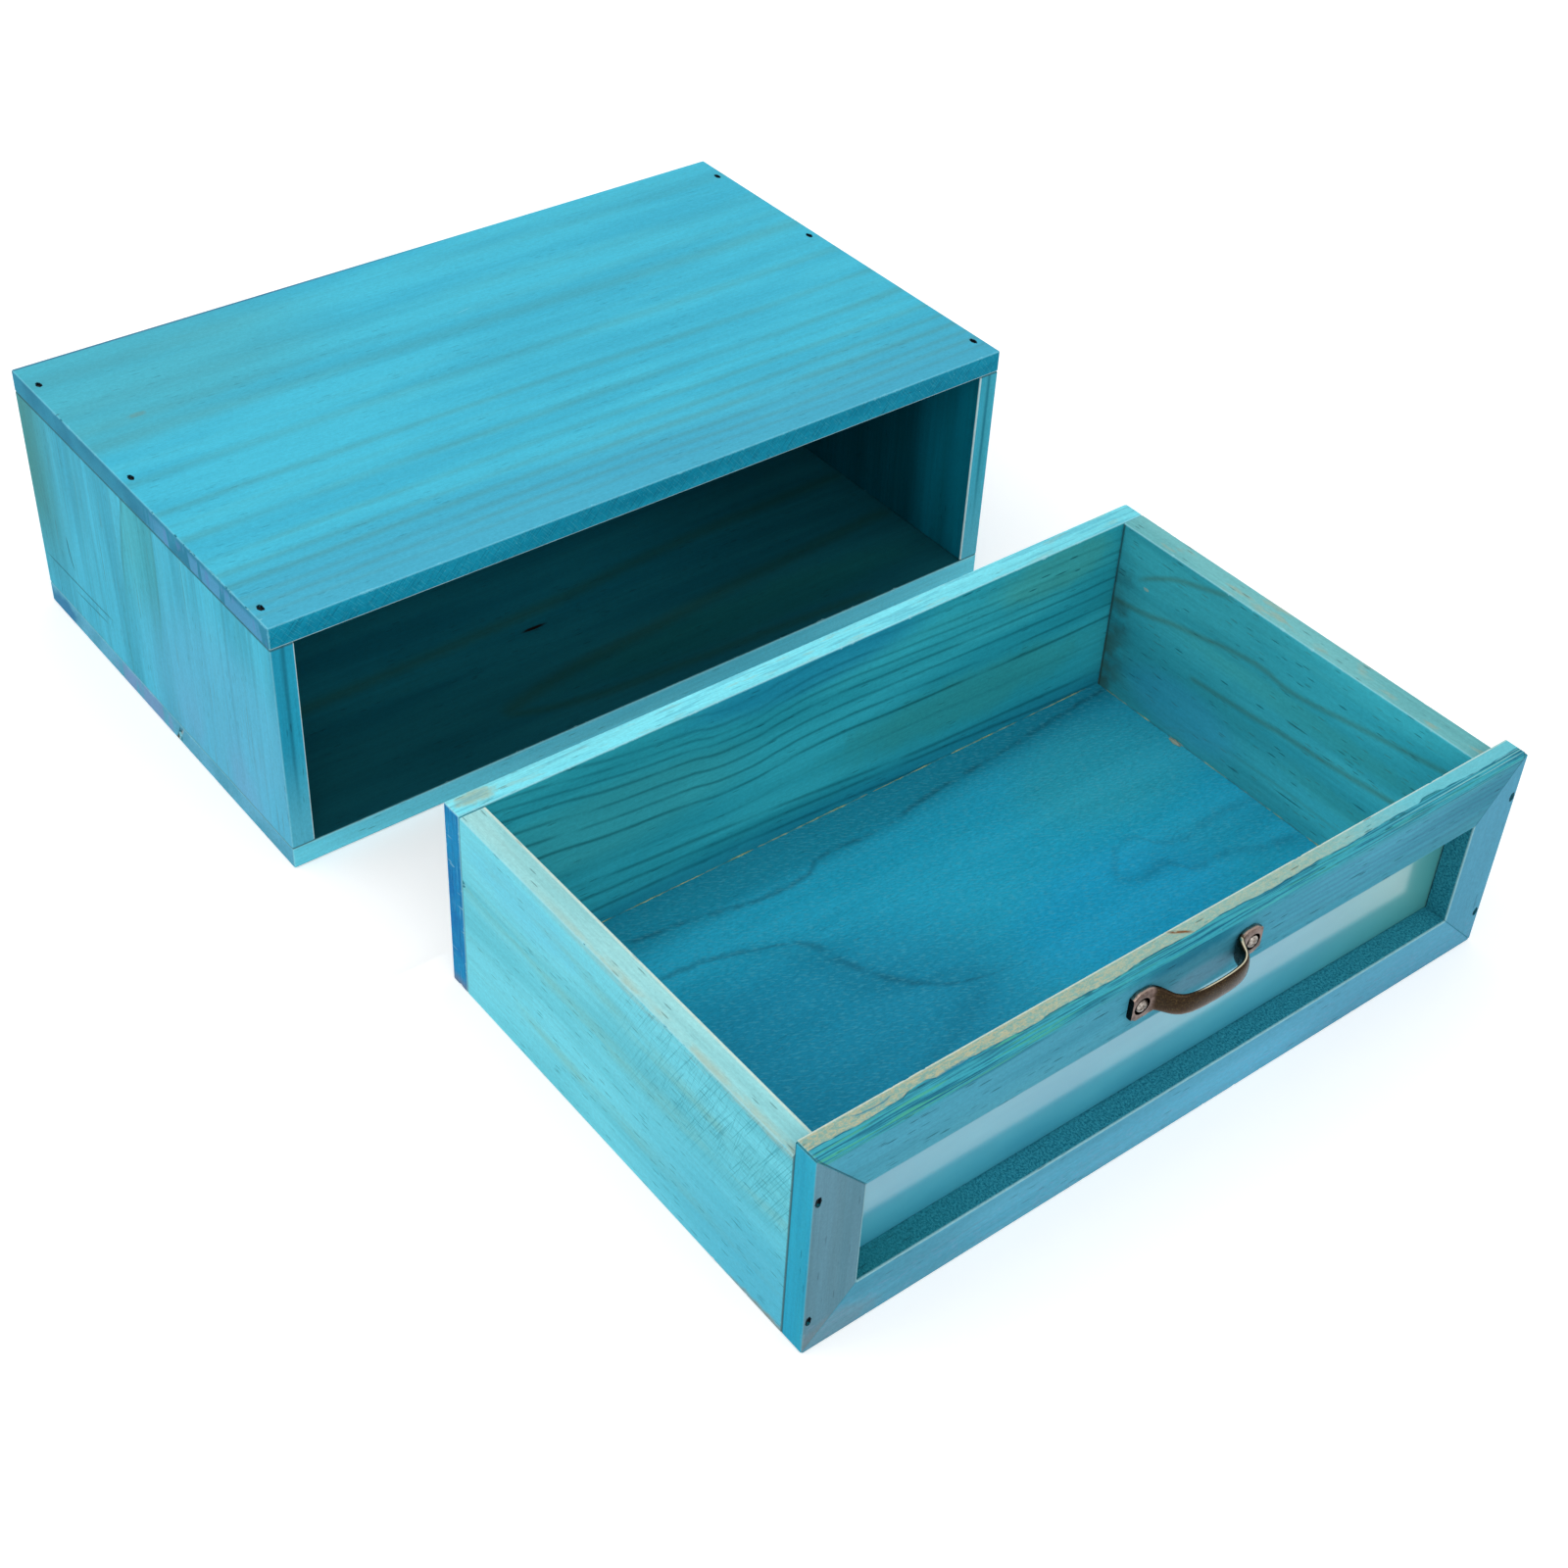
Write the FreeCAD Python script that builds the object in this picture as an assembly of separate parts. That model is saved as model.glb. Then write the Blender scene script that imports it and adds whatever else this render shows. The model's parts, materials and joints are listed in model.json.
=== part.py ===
import FreeCAD, Part
import math
import os

# Drawer organizer: an open-fronted wooden case and the glazed drawer that slides into it.
# Sizes are millimetres. The origin is the middle of the case's underside, X runs along the
# width, Y from the front to the back, and Z is up. The drawer stands drawn right out.

# Case
case_width = 330.0
case_depth = 201.0
case_height = 108.5
case_board = 9.3            # top, bottom and side boards
back_board = 8.0            # panel between the four boards at the rear
arris = 0.7                 # soft rounding along every board's edges

# Drawer's running clearances inside the case
side_gap = 3.1
under_gap = 0.3
top_gap = 3.2
stop_gap = 1.0              # behind the closed drawer
drawn_out = 281.0           # travel between the closed drawer and where it stands

# Drawer boards
front_board = 9.4           # thickness of the mitred front frame
drawer_back_board = 9.0
drawer_side_board = 10.0
front_lip = 6.7             # front frame above the sides and back
floor_board = 2.5           # plywood floor
floor_lift = 0.3            # floor above the boards' lower edges
floor_fit = 0.15            # glue gap round the floor
loose_joint = 0.8           # open end of the left side's rear joint
loose_joint_share = 0.75    # of the side's height, from the top

# Front frame
top_rail = 23.0
bottom_rail = 19.5
stile = 19.7
rim_bevel = 1.4             # worn bevel along the top rail's front edge
frame_arris = 0.35

# Window
pane_thick = 2.0
pane_fit = 0.5              # each side of the pane, between the drawer's sides
pane_cover = 9.0            # pane above the window's upper edge
strip_wide = 5.0            # strips that hold the pane against the frame
strip_deep = 5.0
strip_fit = 0.15

# Brads: flat wire nails, punched a little below the surface
brad_long = 22.0
brad_wire = 1.1
brad_head_wide = 3.2
brad_head_narrow = 1.3
brad_head_thick = 0.8
brad_sunk = 0.9
case_brad_inset = 4.0       # from the ends of the top and bottom boards
case_brad_front = 12.0      # from the front edge
case_brad_rear = 16.0       # from the rear edge
left_brad_middle = 7.5      # middle brad behind the case's centre, left row
right_brad_middle = 18.5    # the same, right row
panel_brad_spacing = 110.0
frame_brad_inset = 2.0
frame_brad_low = 14.5       # above the frame's lower edge
frame_brad_high = 18.5      # below the frame's upper edge
rear_brad_inset = 5.0
rear_brad_edge = 15.0

# Pull handle: a cast strap with two feet
handle_length = 56.0
handle_shift = -4.4         # from the middle of the front
screw_inset = 4.0           # from the handle's ends
strap_thick = 2.2
foot_high = 11.5
foot_end_high = 8.6
foot_taper = 2.6            # length of the foot's tapered end
foot_long = 7.8             # flat of the foot, at its full height
neck_long = 2.8             # where the foot narrows to the bow's height
foot_tip_radius = 1.2       # corners of the outline, from the foot's end to the neck
foot_shoulder_radius = 2.0
foot_back_radius = 1.0
neck_radius = 2.4
bow_high = 8.0
bow_reach = 11.8            # front of the bow, from the drawer's front
bow_lean = 11.0             # degrees, of the bow's ends
bow_arc_share = 0.7         # share of the bow's length that its middle arc takes
heel_inset = 8.4            # where the leg leaves the foot, from the handle's end
leg_lean = 4.4              # how far the leg leans inward to the bow's end
heel_radius = 2.6
shoulder_radius = 3.6
handle_round = 0.55

# Handle screws: cross-slot pan heads in counterbored feet
counterbore_radius = 3.5
counterbore_deep = 0.9
screw_head_radius = 2.7
screw_head_high = 1.5
screw_head_round = 0.7
screw_shank_radius = 1.2
screw_hole_fit = 0.15
screw_in_rail = 7.0
cross_wide = 0.75           # the two slots of the head's cross
cross_long = 3.2
cross_deep = 0.8

# Worked out from the sizes above
inside_width = case_width - 2 * case_board
drawer_width = inside_width - 2 * side_gap
drawer_depth = case_depth - back_board - stop_gap
front_height = case_height - 2 * case_board - under_gap - top_gap
side_height = front_height - front_lip
case_front = -case_depth / 2
case_rear = case_depth / 2
drawer_front = case_front - drawn_out
drawer_rear = drawer_front + drawer_depth
frame_rear = drawer_front + front_board
drawer_base = case_board + under_gap
floor_top = drawer_base + floor_lift + floor_board
inner_half = drawer_width / 2 - drawer_side_board
window_top = drawer_base + front_height - top_rail
rail_middle = drawer_base + front_height - top_rail / 2
handle_half = handle_length / 2
heel_x = handle_half - heel_inset
shoulder_x = heel_x - leg_lean


def vec(x, y, z):
    return FreeCAD.Vector(x, y, z)


def box(low, high):
    """A plain box between two opposite corners."""
    size = [high[i] - low[i] for i in range(3)]
    return Part.makeBox(size[0], size[1], size[2], vec(*low))


def board(low, high):
    """A board between two opposite corners, with its edges softened."""
    plain = box(low, high)
    return plain.makeFillet(arris, plain.Edges)


def corner_arc(before, corner, after, radius):
    """Ends and middle of the arc that rounds one corner of a path in the XY plane."""
    to_before = (before - corner).normalize()
    to_after = (after - corner).normalize()
    half_turn = (math.pi - to_before.getAngle(to_after)) / 2
    along = radius * math.tan(half_turn)
    inward = (to_before + to_after).normalize()
    start = corner + to_before * along
    end = corner + to_after * along
    centre = corner + inward * (radius / math.cos(half_turn))
    return start, centre - inward * radius, end


def rounded_path(corners, radii, closed):
    """Straight runs joined by tangent arcs; a radius of 0 keeps a corner sharp."""
    count = len(corners)
    points = [vec(x, y, 0) for x, y in corners]
    legs = []
    for i in range(count):
        if radii[i] > 0:
            legs.append(corner_arc(points[i - 1], points[i], points[(i + 1) % count], radii[i]))
        else:
            legs.append((points[i], None, points[i]))
    edges = []
    for i in range(count):
        start, middle, end = legs[i]
        if middle is not None:
            edges.append(Part.Arc(start, middle, end).toShape())
        if closed or i < count - 1:
            edges.append(Part.LineSegment(end, legs[(i + 1) % count][0]).toShape())
    return edges


def brad():
    """One brad, its head's top at the origin, pointing down, the head long in Y."""
    head = box((-brad_head_narrow / 2, -brad_head_wide / 2, -brad_head_thick),
               (brad_head_narrow / 2, brad_head_wide / 2, 0))
    wire = box((-brad_wire / 2, -brad_wire / 2, -brad_long),
               (brad_wire / 2, brad_wire / 2, -brad_head_thick))
    return head.fuse(wire).removeSplitter()


def punch_mark():
    """The open slot above a punched brad's head."""
    return box((-brad_head_narrow / 2, -brad_head_wide / 2, 0),
               (brad_head_narrow / 2, brad_head_wide / 2, brad_sunk + arris))


def aim(shape, spot, way):
    """Place a brad or its mark at a spot on a surface, pointing down, up, back or forward."""
    tilt = {"down": 0, "up": 180, "back": 90, "forward": -90}[way]
    sunk = {"down": vec(0, 0, -1), "up": vec(0, 0, 1), "back": vec(0, 1, 0), "forward": vec(0, -1, 0)}[way]
    placed = shape.copy()
    placed.rotate(vec(0, 0, 0), vec(1, 0, 0), tilt)
    placed.translate(vec(*spot) + sunk * brad_sunk)
    return placed


def brads(spots, way):
    return [aim(brad(), spot, way) for spot in spots]


def take_brads(piece, spots, way):
    """Cut the brads and their marks out of a board."""
    for spot in spots:
        piece = piece.cut(aim(brad(), spot, way))
        piece = piece.cut(aim(punch_mark(), spot, way))
    return piece


def case_brad_spots(height):
    """Places of the six brads that hold one board on the case's sides."""
    row_x = case_width / 2 - case_brad_inset
    spots = []
    for side, middle in ((-1, left_brad_middle), (1, right_brad_middle)):
        for y in (case_front + case_brad_front, middle, case_rear - case_brad_rear):
            spots.append((side * row_x, y, height))
    return spots


def panel_brad_spots():
    """Places of the three brads driven up into the back panel."""
    y = case_rear - back_board / 2
    return [(step * panel_brad_spacing, y, 0) for step in (-1, 0, 1)]


def frame_brad_spots():
    x = drawer_width / 2 - frame_brad_inset
    heights = (drawer_base + frame_brad_low, drawer_base + front_height - frame_brad_high)
    return [(side * x, drawer_front, z) for side in (-1, 1) for z in heights]


def rear_brad_spots():
    x = drawer_width / 2 - rear_brad_inset
    heights = (drawer_base + rear_brad_edge, drawer_base + side_height - rear_brad_edge)
    return [(side * x, drawer_rear, z) for side in (-1, 1) for z in heights]


def screw_spots():
    reach = handle_half - screw_inset
    return [vec(handle_shift + side * reach, drawer_front, rail_middle) for side in (-1, 1)]


def case_top():
    piece = board((-case_width / 2, case_front, case_height - case_board),
                  (case_width / 2, case_rear, case_height))
    return take_brads(piece, case_brad_spots(case_height), "down")


def case_bottom():
    piece = board((-case_width / 2, case_front, 0), (case_width / 2, case_rear, case_board))
    return take_brads(piece, case_brad_spots(0) + panel_brad_spots(), "up")


def case_side(side):
    outer = side * case_width / 2
    inner = side * (case_width / 2 - case_board)
    piece = board((min(outer, inner), case_front, case_board),
                  (max(outer, inner), case_rear, case_height - case_board))
    piece = take_brads(piece, case_brad_spots(case_height), "down")
    return take_brads(piece, case_brad_spots(0), "up")


def case_back():
    piece = board((-inside_width / 2, case_rear - back_board, case_board),
                  (inside_width / 2, case_rear, case_height - case_board))
    return take_brads(piece, panel_brad_spots(), "up")


def drawer_back():
    piece = board((-drawer_width / 2, drawer_rear - drawer_back_board, drawer_base),
                  (drawer_width / 2, drawer_rear, drawer_base + side_height))
    return take_brads(piece, rear_brad_spots(), "forward")


def loose_end():
    """Wedge of air where the left side's rear end stands off the back board."""
    y = drawer_rear - drawer_back_board
    top = drawer_base + side_height
    foot = top - side_height * loose_joint_share
    corners = [vec(0, y, top), vec(0, y - loose_joint, top), vec(0, y, foot), vec(0, y, top)]
    face = Part.Face(Part.makePolygon(corners))
    wedge = face.extrude(vec(drawer_side_board, 0, 0))
    wedge.translate(vec(-drawer_width / 2, 0, 0))
    return wedge


def drawer_side(side):
    outer = side * drawer_width / 2
    inner = side * inner_half
    piece = board((min(outer, inner), frame_rear, drawer_base),
                  (max(outer, inner), drawer_rear - drawer_back_board, drawer_base + side_height))
    if side < 0:
        piece = piece.cut(loose_end())
    piece = take_brads(piece, frame_brad_spots(), "back")
    return take_brads(piece, rear_brad_spots(), "forward")


def drawer_floor():
    half = inner_half - floor_fit
    return box((-half, frame_rear + floor_fit, drawer_base + floor_lift),
               (half, drawer_rear - drawer_back_board - floor_fit, floor_top))


def frame_member(corners):
    """One mitred member of the front, from its outline as seen from the front."""
    points = [vec(x, drawer_front, drawer_base + z) for x, z in corners]
    face = Part.Face(Part.makePolygon(points + points[:1]))
    plain = face.extrude(vec(0, front_board, 0))
    return plain.makeFillet(frame_arris, plain.Edges)


def frame_corners():
    """Outer and inner corners of the front frame: lower left, lower right, upper right, upper left."""
    half = drawer_width / 2
    outer = [(-half, 0), (half, 0), (half, front_height), (-half, front_height)]
    left = -half + stile
    right = half - stile
    high = front_height - top_rail
    inner = [(left, bottom_rail), (right, bottom_rail), (right, high), (left, high)]
    return outer, inner


def front_top_rail():
    outer, inner = frame_corners()
    rail = frame_member([outer[2], outer[3], inner[3], inner[2]])
    top = drawer_base + front_height
    corners = [vec(0, drawer_front, top), vec(0, drawer_front, top - rim_bevel),
               vec(0, drawer_front + rim_bevel, top), vec(0, drawer_front, top)]
    bevel = Part.Face(Part.makePolygon(corners)).extrude(vec(drawer_width, 0, 0))
    bevel.translate(vec(-drawer_width / 2, 0, 0))
    rail = rail.cut(bevel)
    for spot in screw_spots():
        hole = Part.makeCylinder(screw_shank_radius, screw_in_rail, spot, vec(0, 1, 0))
        rail = rail.cut(hole)
    return rail


def front_bottom_rail():
    outer, inner = frame_corners()
    return frame_member([outer[0], outer[1], inner[1], inner[0]])


def front_stile(side):
    outer, inner = frame_corners()
    low, high = (0, 3) if side < 0 else (1, 2)
    piece = frame_member([outer[low], inner[low], inner[high], outer[high]])
    return take_brads(piece, frame_brad_spots(), "back")


def window_pane():
    half = inner_half - pane_fit
    return box((-half, frame_rear, floor_top), (half, frame_rear + pane_thick, window_top + pane_cover))


def pane_side_strip(side):
    """Upright strip at one end of the pane, glued to the drawer's side."""
    outer = side * (inner_half - strip_fit)
    inner = side * (inner_half - strip_fit - strip_wide)
    near = frame_rear + pane_thick + strip_fit
    return box((min(outer, inner), near, floor_top),
               (max(outer, inner), near + strip_deep, window_top + pane_cover))


def pane_foot_strip():
    """Strip along the pane's lower edge, glued to the floor between the upright strips."""
    half = inner_half - 2 * strip_fit - strip_wide
    near = frame_rear + pane_thick + strip_fit
    return box((-half, near, floor_top), (half, near + strip_deep, floor_top + strip_wide))


def strap_side(offset):
    """One face of the strap as seen from above: corners and radii of its path.

    Positive offset is the outer face, away from the drawer."""
    middle = strap_thick / 2
    reach = bow_reach - strap_thick / 2
    slope = math.radians(bow_lean)
    bow_radius = bow_arc_share * shoulder_x / math.sin(slope)
    apex = reach + bow_radius * (1 / math.cos(slope) - 1)
    half = [(handle_half, middle), (heel_x, middle),
            (shoulder_x, apex - shoulder_x * math.tan(slope)), (0, apex)]
    line = [vec(-x, y, 0) for x, y in half] + [vec(x, y, 0) for x, y in half[-2::-1]]
    half_radii = [0, heel_radius + offset, shoulder_radius - offset]
    radii = half_radii + [bow_radius - offset] + half_radii[::-1]
    corners = []
    for i, point in enumerate(line):
        before = line[i - 1] if i > 0 else point - (line[1] - point)
        after = line[i + 1] if i < len(line) - 1 else point + (point - line[i - 1])
        way_in = (point - before).normalize()
        way_out = (after - point).normalize()
        normal = (vec(-way_in.y, way_in.x, 0) + vec(-way_out.y, way_out.x, 0)).normalize()
        stretch = 1 / normal.dot(vec(-way_in.y, way_in.x, 0))
        moved = point + normal * (offset * stretch)
        corners.append((moved.x, moved.y))
    return corners, radii


def strap_solid():
    """The strap's bent shape, as wide as the feet all along."""
    outer_corners, outer_radii = strap_side(strap_thick / 2)
    inner_corners, inner_radii = strap_side(-strap_thick / 2)
    corners = outer_corners + inner_corners[::-1]
    radii = outer_radii + inner_radii[::-1]
    face = Part.Face(Part.Wire(rounded_path(corners, radii, True)))
    solid = face.extrude(vec(0, 0, foot_high))
    solid.translate(vec(0, 0, -foot_high / 2))
    return solid


def strap_outline():
    """The handle's outline as seen from the front, as a block through the strap."""
    back = handle_half - foot_long
    quarter = [(handle_half, foot_end_high / 2), (handle_half - foot_taper, foot_high / 2),
               (back, foot_high / 2), (back - neck_long, bow_high / 2)]
    radii = [foot_tip_radius, foot_shoulder_radius, foot_back_radius, neck_radius]
    corners = quarter + [(-x, z) for x, z in quarter[::-1]]
    corners += [(-x, -z) for x, z in quarter] + [(x, -z) for x, z in quarter[::-1]]
    all_radii = radii + radii[::-1] + radii + radii[::-1]
    face = Part.Face(Part.Wire(rounded_path(corners, all_radii, True)))
    face.rotate(vec(0, 0, 0), vec(1, 0, 0), 90)
    block = face.extrude(vec(0, 2 * bow_reach, 0))
    block.translate(vec(0, -bow_reach / 2, 0))
    return block


def pull_handle():
    solid = strap_solid().common(strap_outline())
    solid = solid.makeFillet(handle_round, solid.Edges)
    solid.rotate(vec(0, 0, 0), vec(0, 0, 1), 180)
    solid.translate(vec(handle_shift, drawer_front, rail_middle))
    sink_long = bow_reach - strap_thick + counterbore_deep
    for spot in screw_spots():
        start = spot - vec(0, bow_reach, 0)
        sink = Part.makeCylinder(counterbore_radius, sink_long, start, vec(0, 1, 0))
        hole = Part.makeCylinder(screw_shank_radius + screw_hole_fit, bow_reach, start, vec(0, 1, 0))
        solid = solid.cut(sink).cut(hole)
    return solid


def handle_screw(spot):
    seat = spot - vec(0, strap_thick - counterbore_deep, 0)
    front = seat.y - screw_head_high
    head = Part.makeCylinder(screw_head_radius, screw_head_high, seat, vec(0, -1, 0))
    rim = [edge for edge in head.Edges if edge.BoundBox.YMax < front + screw_head_high / 2]
    head = head.makeFillet(screw_head_round, rim)
    for wide, high in ((cross_long, cross_wide), (cross_wide, cross_long)):
        head = head.cut(box((spot.x - wide / 2, front, spot.z - high / 2),
                            (spot.x + wide / 2, front + cross_deep, spot.z + high / 2)))
    shank_long = screw_in_rail + strap_thick - counterbore_deep
    shank = Part.makeCylinder(screw_shank_radius, shank_long, seat, vec(0, 1, 0))
    return head.fuse(shank).removeSplitter()


def save(name, solids):
    """Write one sub-part; a group is written as separate solids in one file."""
    shape = solids[0] if len(solids) == 1 else Part.makeCompound(solids)
    shape.exportStep("parts/" + name + ".step")


def main():
    os.makedirs("parts", exist_ok=True)
    save("case_top", [case_top()])
    save("case_bottom", [case_bottom()])
    save("case_left_side", [case_side(-1)])
    save("case_right_side", [case_side(1)])
    save("case_back_panel", [case_back()])
    save("case_top_brads", brads(case_brad_spots(case_height), "down"))
    save("case_bottom_brads", brads(case_brad_spots(0), "up"))
    save("back_panel_brads", brads(panel_brad_spots(), "up"))
    save("drawer_back", [drawer_back()])
    save("drawer_left_side", [drawer_side(-1)])
    save("drawer_right_side", [drawer_side(1)])
    save("drawer_floor", [drawer_floor()])
    save("front_top_rail", [front_top_rail()])
    save("front_bottom_rail", [front_bottom_rail()])
    save("front_left_stile", [front_stile(-1)])
    save("front_right_stile", [front_stile(1)])
    save("window_pane", [window_pane()])
    save("pane_left_strip", [pane_side_strip(-1)])
    save("pane_right_strip", [pane_side_strip(1)])
    save("pane_foot_strip", [pane_foot_strip()])
    save("front_frame_brads", brads(frame_brad_spots(), "back"))
    save("drawer_back_brads", brads(rear_brad_spots(), "forward"))
    save("pull_handle", [pull_handle()])
    save("handle_screws", [handle_screw(spot) for spot in screw_spots()])


main()
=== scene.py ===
import json
import math
import random

import bmesh
import bpy
from mathutils import Matrix, Vector


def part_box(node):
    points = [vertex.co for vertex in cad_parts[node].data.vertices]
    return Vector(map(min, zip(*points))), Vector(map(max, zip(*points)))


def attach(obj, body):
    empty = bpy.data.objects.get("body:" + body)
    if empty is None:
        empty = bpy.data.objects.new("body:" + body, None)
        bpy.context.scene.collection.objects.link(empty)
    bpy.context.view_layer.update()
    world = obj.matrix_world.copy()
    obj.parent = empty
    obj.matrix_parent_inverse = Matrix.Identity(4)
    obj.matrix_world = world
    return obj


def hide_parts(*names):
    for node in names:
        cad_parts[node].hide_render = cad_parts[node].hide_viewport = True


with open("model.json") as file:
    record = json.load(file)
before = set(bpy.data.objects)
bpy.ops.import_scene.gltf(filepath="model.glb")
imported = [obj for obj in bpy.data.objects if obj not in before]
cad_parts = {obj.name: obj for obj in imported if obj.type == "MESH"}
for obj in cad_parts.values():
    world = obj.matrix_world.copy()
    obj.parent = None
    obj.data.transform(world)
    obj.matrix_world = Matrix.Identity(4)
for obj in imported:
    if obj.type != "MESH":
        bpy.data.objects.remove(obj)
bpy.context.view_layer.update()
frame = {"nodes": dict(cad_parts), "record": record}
nodes = frame["nodes"]
millimetre = 0.001

# Camera: where the photograph was taken from, in metres and degrees, and its lens on a 36 mm sensor
camera_place = Vector((-0.4423, -0.7008, 0.5963))
camera_azimuth = 40.204
camera_elevation = -40.361
camera_roll = 3.48
camera_lens = 55.03
camera_sensor = 36.0

# Light: the world's even light, a large soft lamp above the rear left, and a weak one in front
white = (1, 1, 1, 1)
world_light = 0.68
lamps = {"key": {"place": (-1.1, 0.5, 1.7), "target": (0, -0.15, 0.05), "power": 9.0, "size": 1.4},
         "fill": {"place": (-0.5, -1.7, 1.6), "target": (0, -0.2, 0.05), "power": 16.0, "size": 1.8}}

# White table and shelf, in metres
table_white = (0.86, 0.86, 0.86, 1)
table_glow = 0.34                       # its own light, which only rays that look at it see
table_half = 3.0
table_thick = 0.02
shelf_gap = 0.0002                      # between the drawer and the shelf, and between shelf and table
shelf_rear = 0.012                      # how far the shelf goes on behind the drawer


def spans(node):
    """Lowest and highest corners of a CAD node, in millimetres."""
    return [[value / millimetre for value in corner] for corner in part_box(node)]


def linear(level):
    return level / 12.92 if level <= 0.04045 else ((level + 0.055) / 1.055) ** 2.4


def stain(code):
    """A colour as it is seen, written as six hex digits."""
    return tuple(linear(int(code[i:i + 2], 16) / 255) for i in (0, 2, 4)) + (1.0,)


class Tree:
    """The nodes of a material or of the world."""

    def __init__(self, tree):
        self.nodes = tree.nodes
        self.links = tree.links

    def add(self, kind, **settings):
        node = self.nodes.new(kind)
        for key, value in settings.items():
            setattr(node, key, value)
        return node

    def feed(self, socket, value):
        if isinstance(value, bpy.types.NodeSocket):
            self.links.new(value, socket)
        else:
            socket.default_value = value

    def fill(self, node, values):
        """Feed a node's inputs by name or number, and give its first output."""
        for name, value in values.items():
            self.feed(node.inputs[name], value)
        return node.outputs[0]

    def math(self, operation, *values):
        node = self.add("ShaderNodeMath", operation=operation)
        return self.fill(node, dict(enumerate(values)))

    def plus(self, first, second):
        return self.math("ADD", first, second)

    def minus(self, first, second):
        return self.math("SUBTRACT", first, second)

    def over(self, value, size):
        return self.math("DIVIDE", value, size)

    def scaled(self, value, factor, start):
        """The value times the factor, plus the start."""
        return self.math("MULTIPLY_ADD", value, factor, start)

    def both(self, first, *others):
        """Product of masks and strengths."""
        for mask in others:
            first = self.math("MULTIPLY", first, mask)
        return first

    def either(self, first, *others):
        for mask in others:
            first = self.math("MAXIMUM", first, mask)
        return first

    def seen(self, *kinds):
        """1 for rays of these kinds, and 0 for the others."""
        path = self.add("ShaderNodeLightPath")
        return self.either(*[path.outputs["Is " + kind + " Ray"] for kind in kinds])


class Paint(Tree):
    """One material being built. Lengths are millimetres, and places are those of the part at rest."""

    def __init__(self, name):
        self.material = bpy.data.materials.new(name)
        self.material.use_nodes = True
        super().__init__(self.material.node_tree)
        self.shader = self.nodes["Principled BSDF"]
        source = self.add("ShaderNodeTexCoord")
        self.place = self.vector("SCALE", source.outputs["Object"], scale=1 / millimetre)
        self.axes = self.split(self.place)
        self.normal = self.split(source.outputs["Normal"])
        self.colour = None
        self.height = None
        self.seed = 0.0

    def vector(self, operation, first, second=None, scale=None):
        """A vector worked out from two, or from one and a scale."""
        node = self.add("ShaderNodeVectorMath", operation=operation)
        return self.fill(node, {0: first, 1: second} if scale is None else {0: first, "Scale": scale})

    def split(self, vector):
        node = self.add("ShaderNodeSeparateXYZ")
        self.feed(node.inputs[0], vector)
        return node.outputs[:3]

    def ramp(self, value, low, high, top=1.0):
        """0 below low, top above high, and smooth between them; low may be the larger."""
        node = self.add("ShaderNodeMapRange", interpolation_type="SMOOTHSTEP")
        ends = (high, low, top, 0.0) if low > high else (low, high, 0.0, top)
        return self.fill(node, dict(enumerate((value, *ends))))

    def mix(self, factor, first, second):
        """The first colour where the factor is 0 and the second where it is 1."""
        colours = [stain(colour) if isinstance(colour, str) else colour for colour in (first, second)]
        node = self.add("ShaderNodeMix", data_type="RGBA")
        self.fill(node, {0: factor, 6: colours[0], 7: colours[1]})
        return node.outputs[2]

    def paint(self, colour, *masks):
        """Lay a colour on, as far as the product of the masks goes."""
        self.colour = self.mix(self.both(*masks), self.colour, colour)

    def tint(self, tone, *masks):
        """Multiply the colour by a tone where the masks are 1."""
        self.paint(self.vector("MULTIPLY", self.colour, tone), *masks)

    def dim(self, factor, *masks):
        """Darken the colour to a share of itself where the masks are 1."""
        self.paint(self.vector("SCALE", self.colour, scale=factor), *masks)

    def shade(self, factor):
        """Make all of the colour lighter or darker."""
        self.colour = self.vector("SCALE", self.colour, scale=factor)

    def lift(self, share, *masks):
        """Make the colour lighter by a share where the masks are 1, or darker if it is below 0."""
        self.shade(self.scaled(self.both(*masks), share, 1.0))

    def vary(self, field, depth):
        """Make the colour lighter and darker by a depth, as the field goes from 1 to 0."""
        self.shade(self.scaled(field, 2 * depth, 1 - depth))

    def texture(self, kind, step, sizes, settings):
        """A texture whose features are about the given sizes, each one moved to a place of its own."""
        self.seed += step
        place = self.vector("DIVIDE", self.place, sizes)
        place = self.vector("ADD", place, (self.seed, self.seed * 0.7, self.seed * 0.4))
        return self.fill(self.add(kind), {"Vector": place, "Scale": 1.0, **settings})

    def noise(self, sizes, detail=2.0, rough=0.5):
        """Noise from 0 to 1, its features about the given sizes along X, Y and Z."""
        return self.texture("ShaderNodeTexNoise", 7.3, sizes, {"Detail": detail, "Roughness": rough})

    def cloud(self, sizes, low, high, detail=2.0, rough=0.5):
        """Mask of noise: 0 where it is below low and 1 where it is above high."""
        return self.ramp(self.noise(sizes, detail, rough), low, high)

    def waver(self, sizes, reach, detail=2.0):
        """Noise that sways about zero over a reach."""
        return self.scaled(self.noise(sizes, detail), reach, -reach / 2)

    def specks(self, sizes, reach):
        """Mask of scattered small ovals, each about twice reach times the sizes."""
        return self.ramp(self.texture("ShaderNodeTexVoronoi", 5.9, sizes, {}), reach, reach * 0.5)

    def face(self, *names):
        """Mask of the sides that look along "+x", "-y" and so on."""
        looks = [self.both(self.normal["xyz".index(axis)], float(sign + "1")) for sign, axis in names]
        return self.either(*[self.ramp(look, 0.55, 0.8) for look in looks])

    def line(self, value, centre, width, core=0.0, top=1.0):
        """Mask of a soft stripe across a coordinate."""
        return self.ramp(self.math("ABSOLUTE", self.minus(value, centre)), width, core, top)

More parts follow.
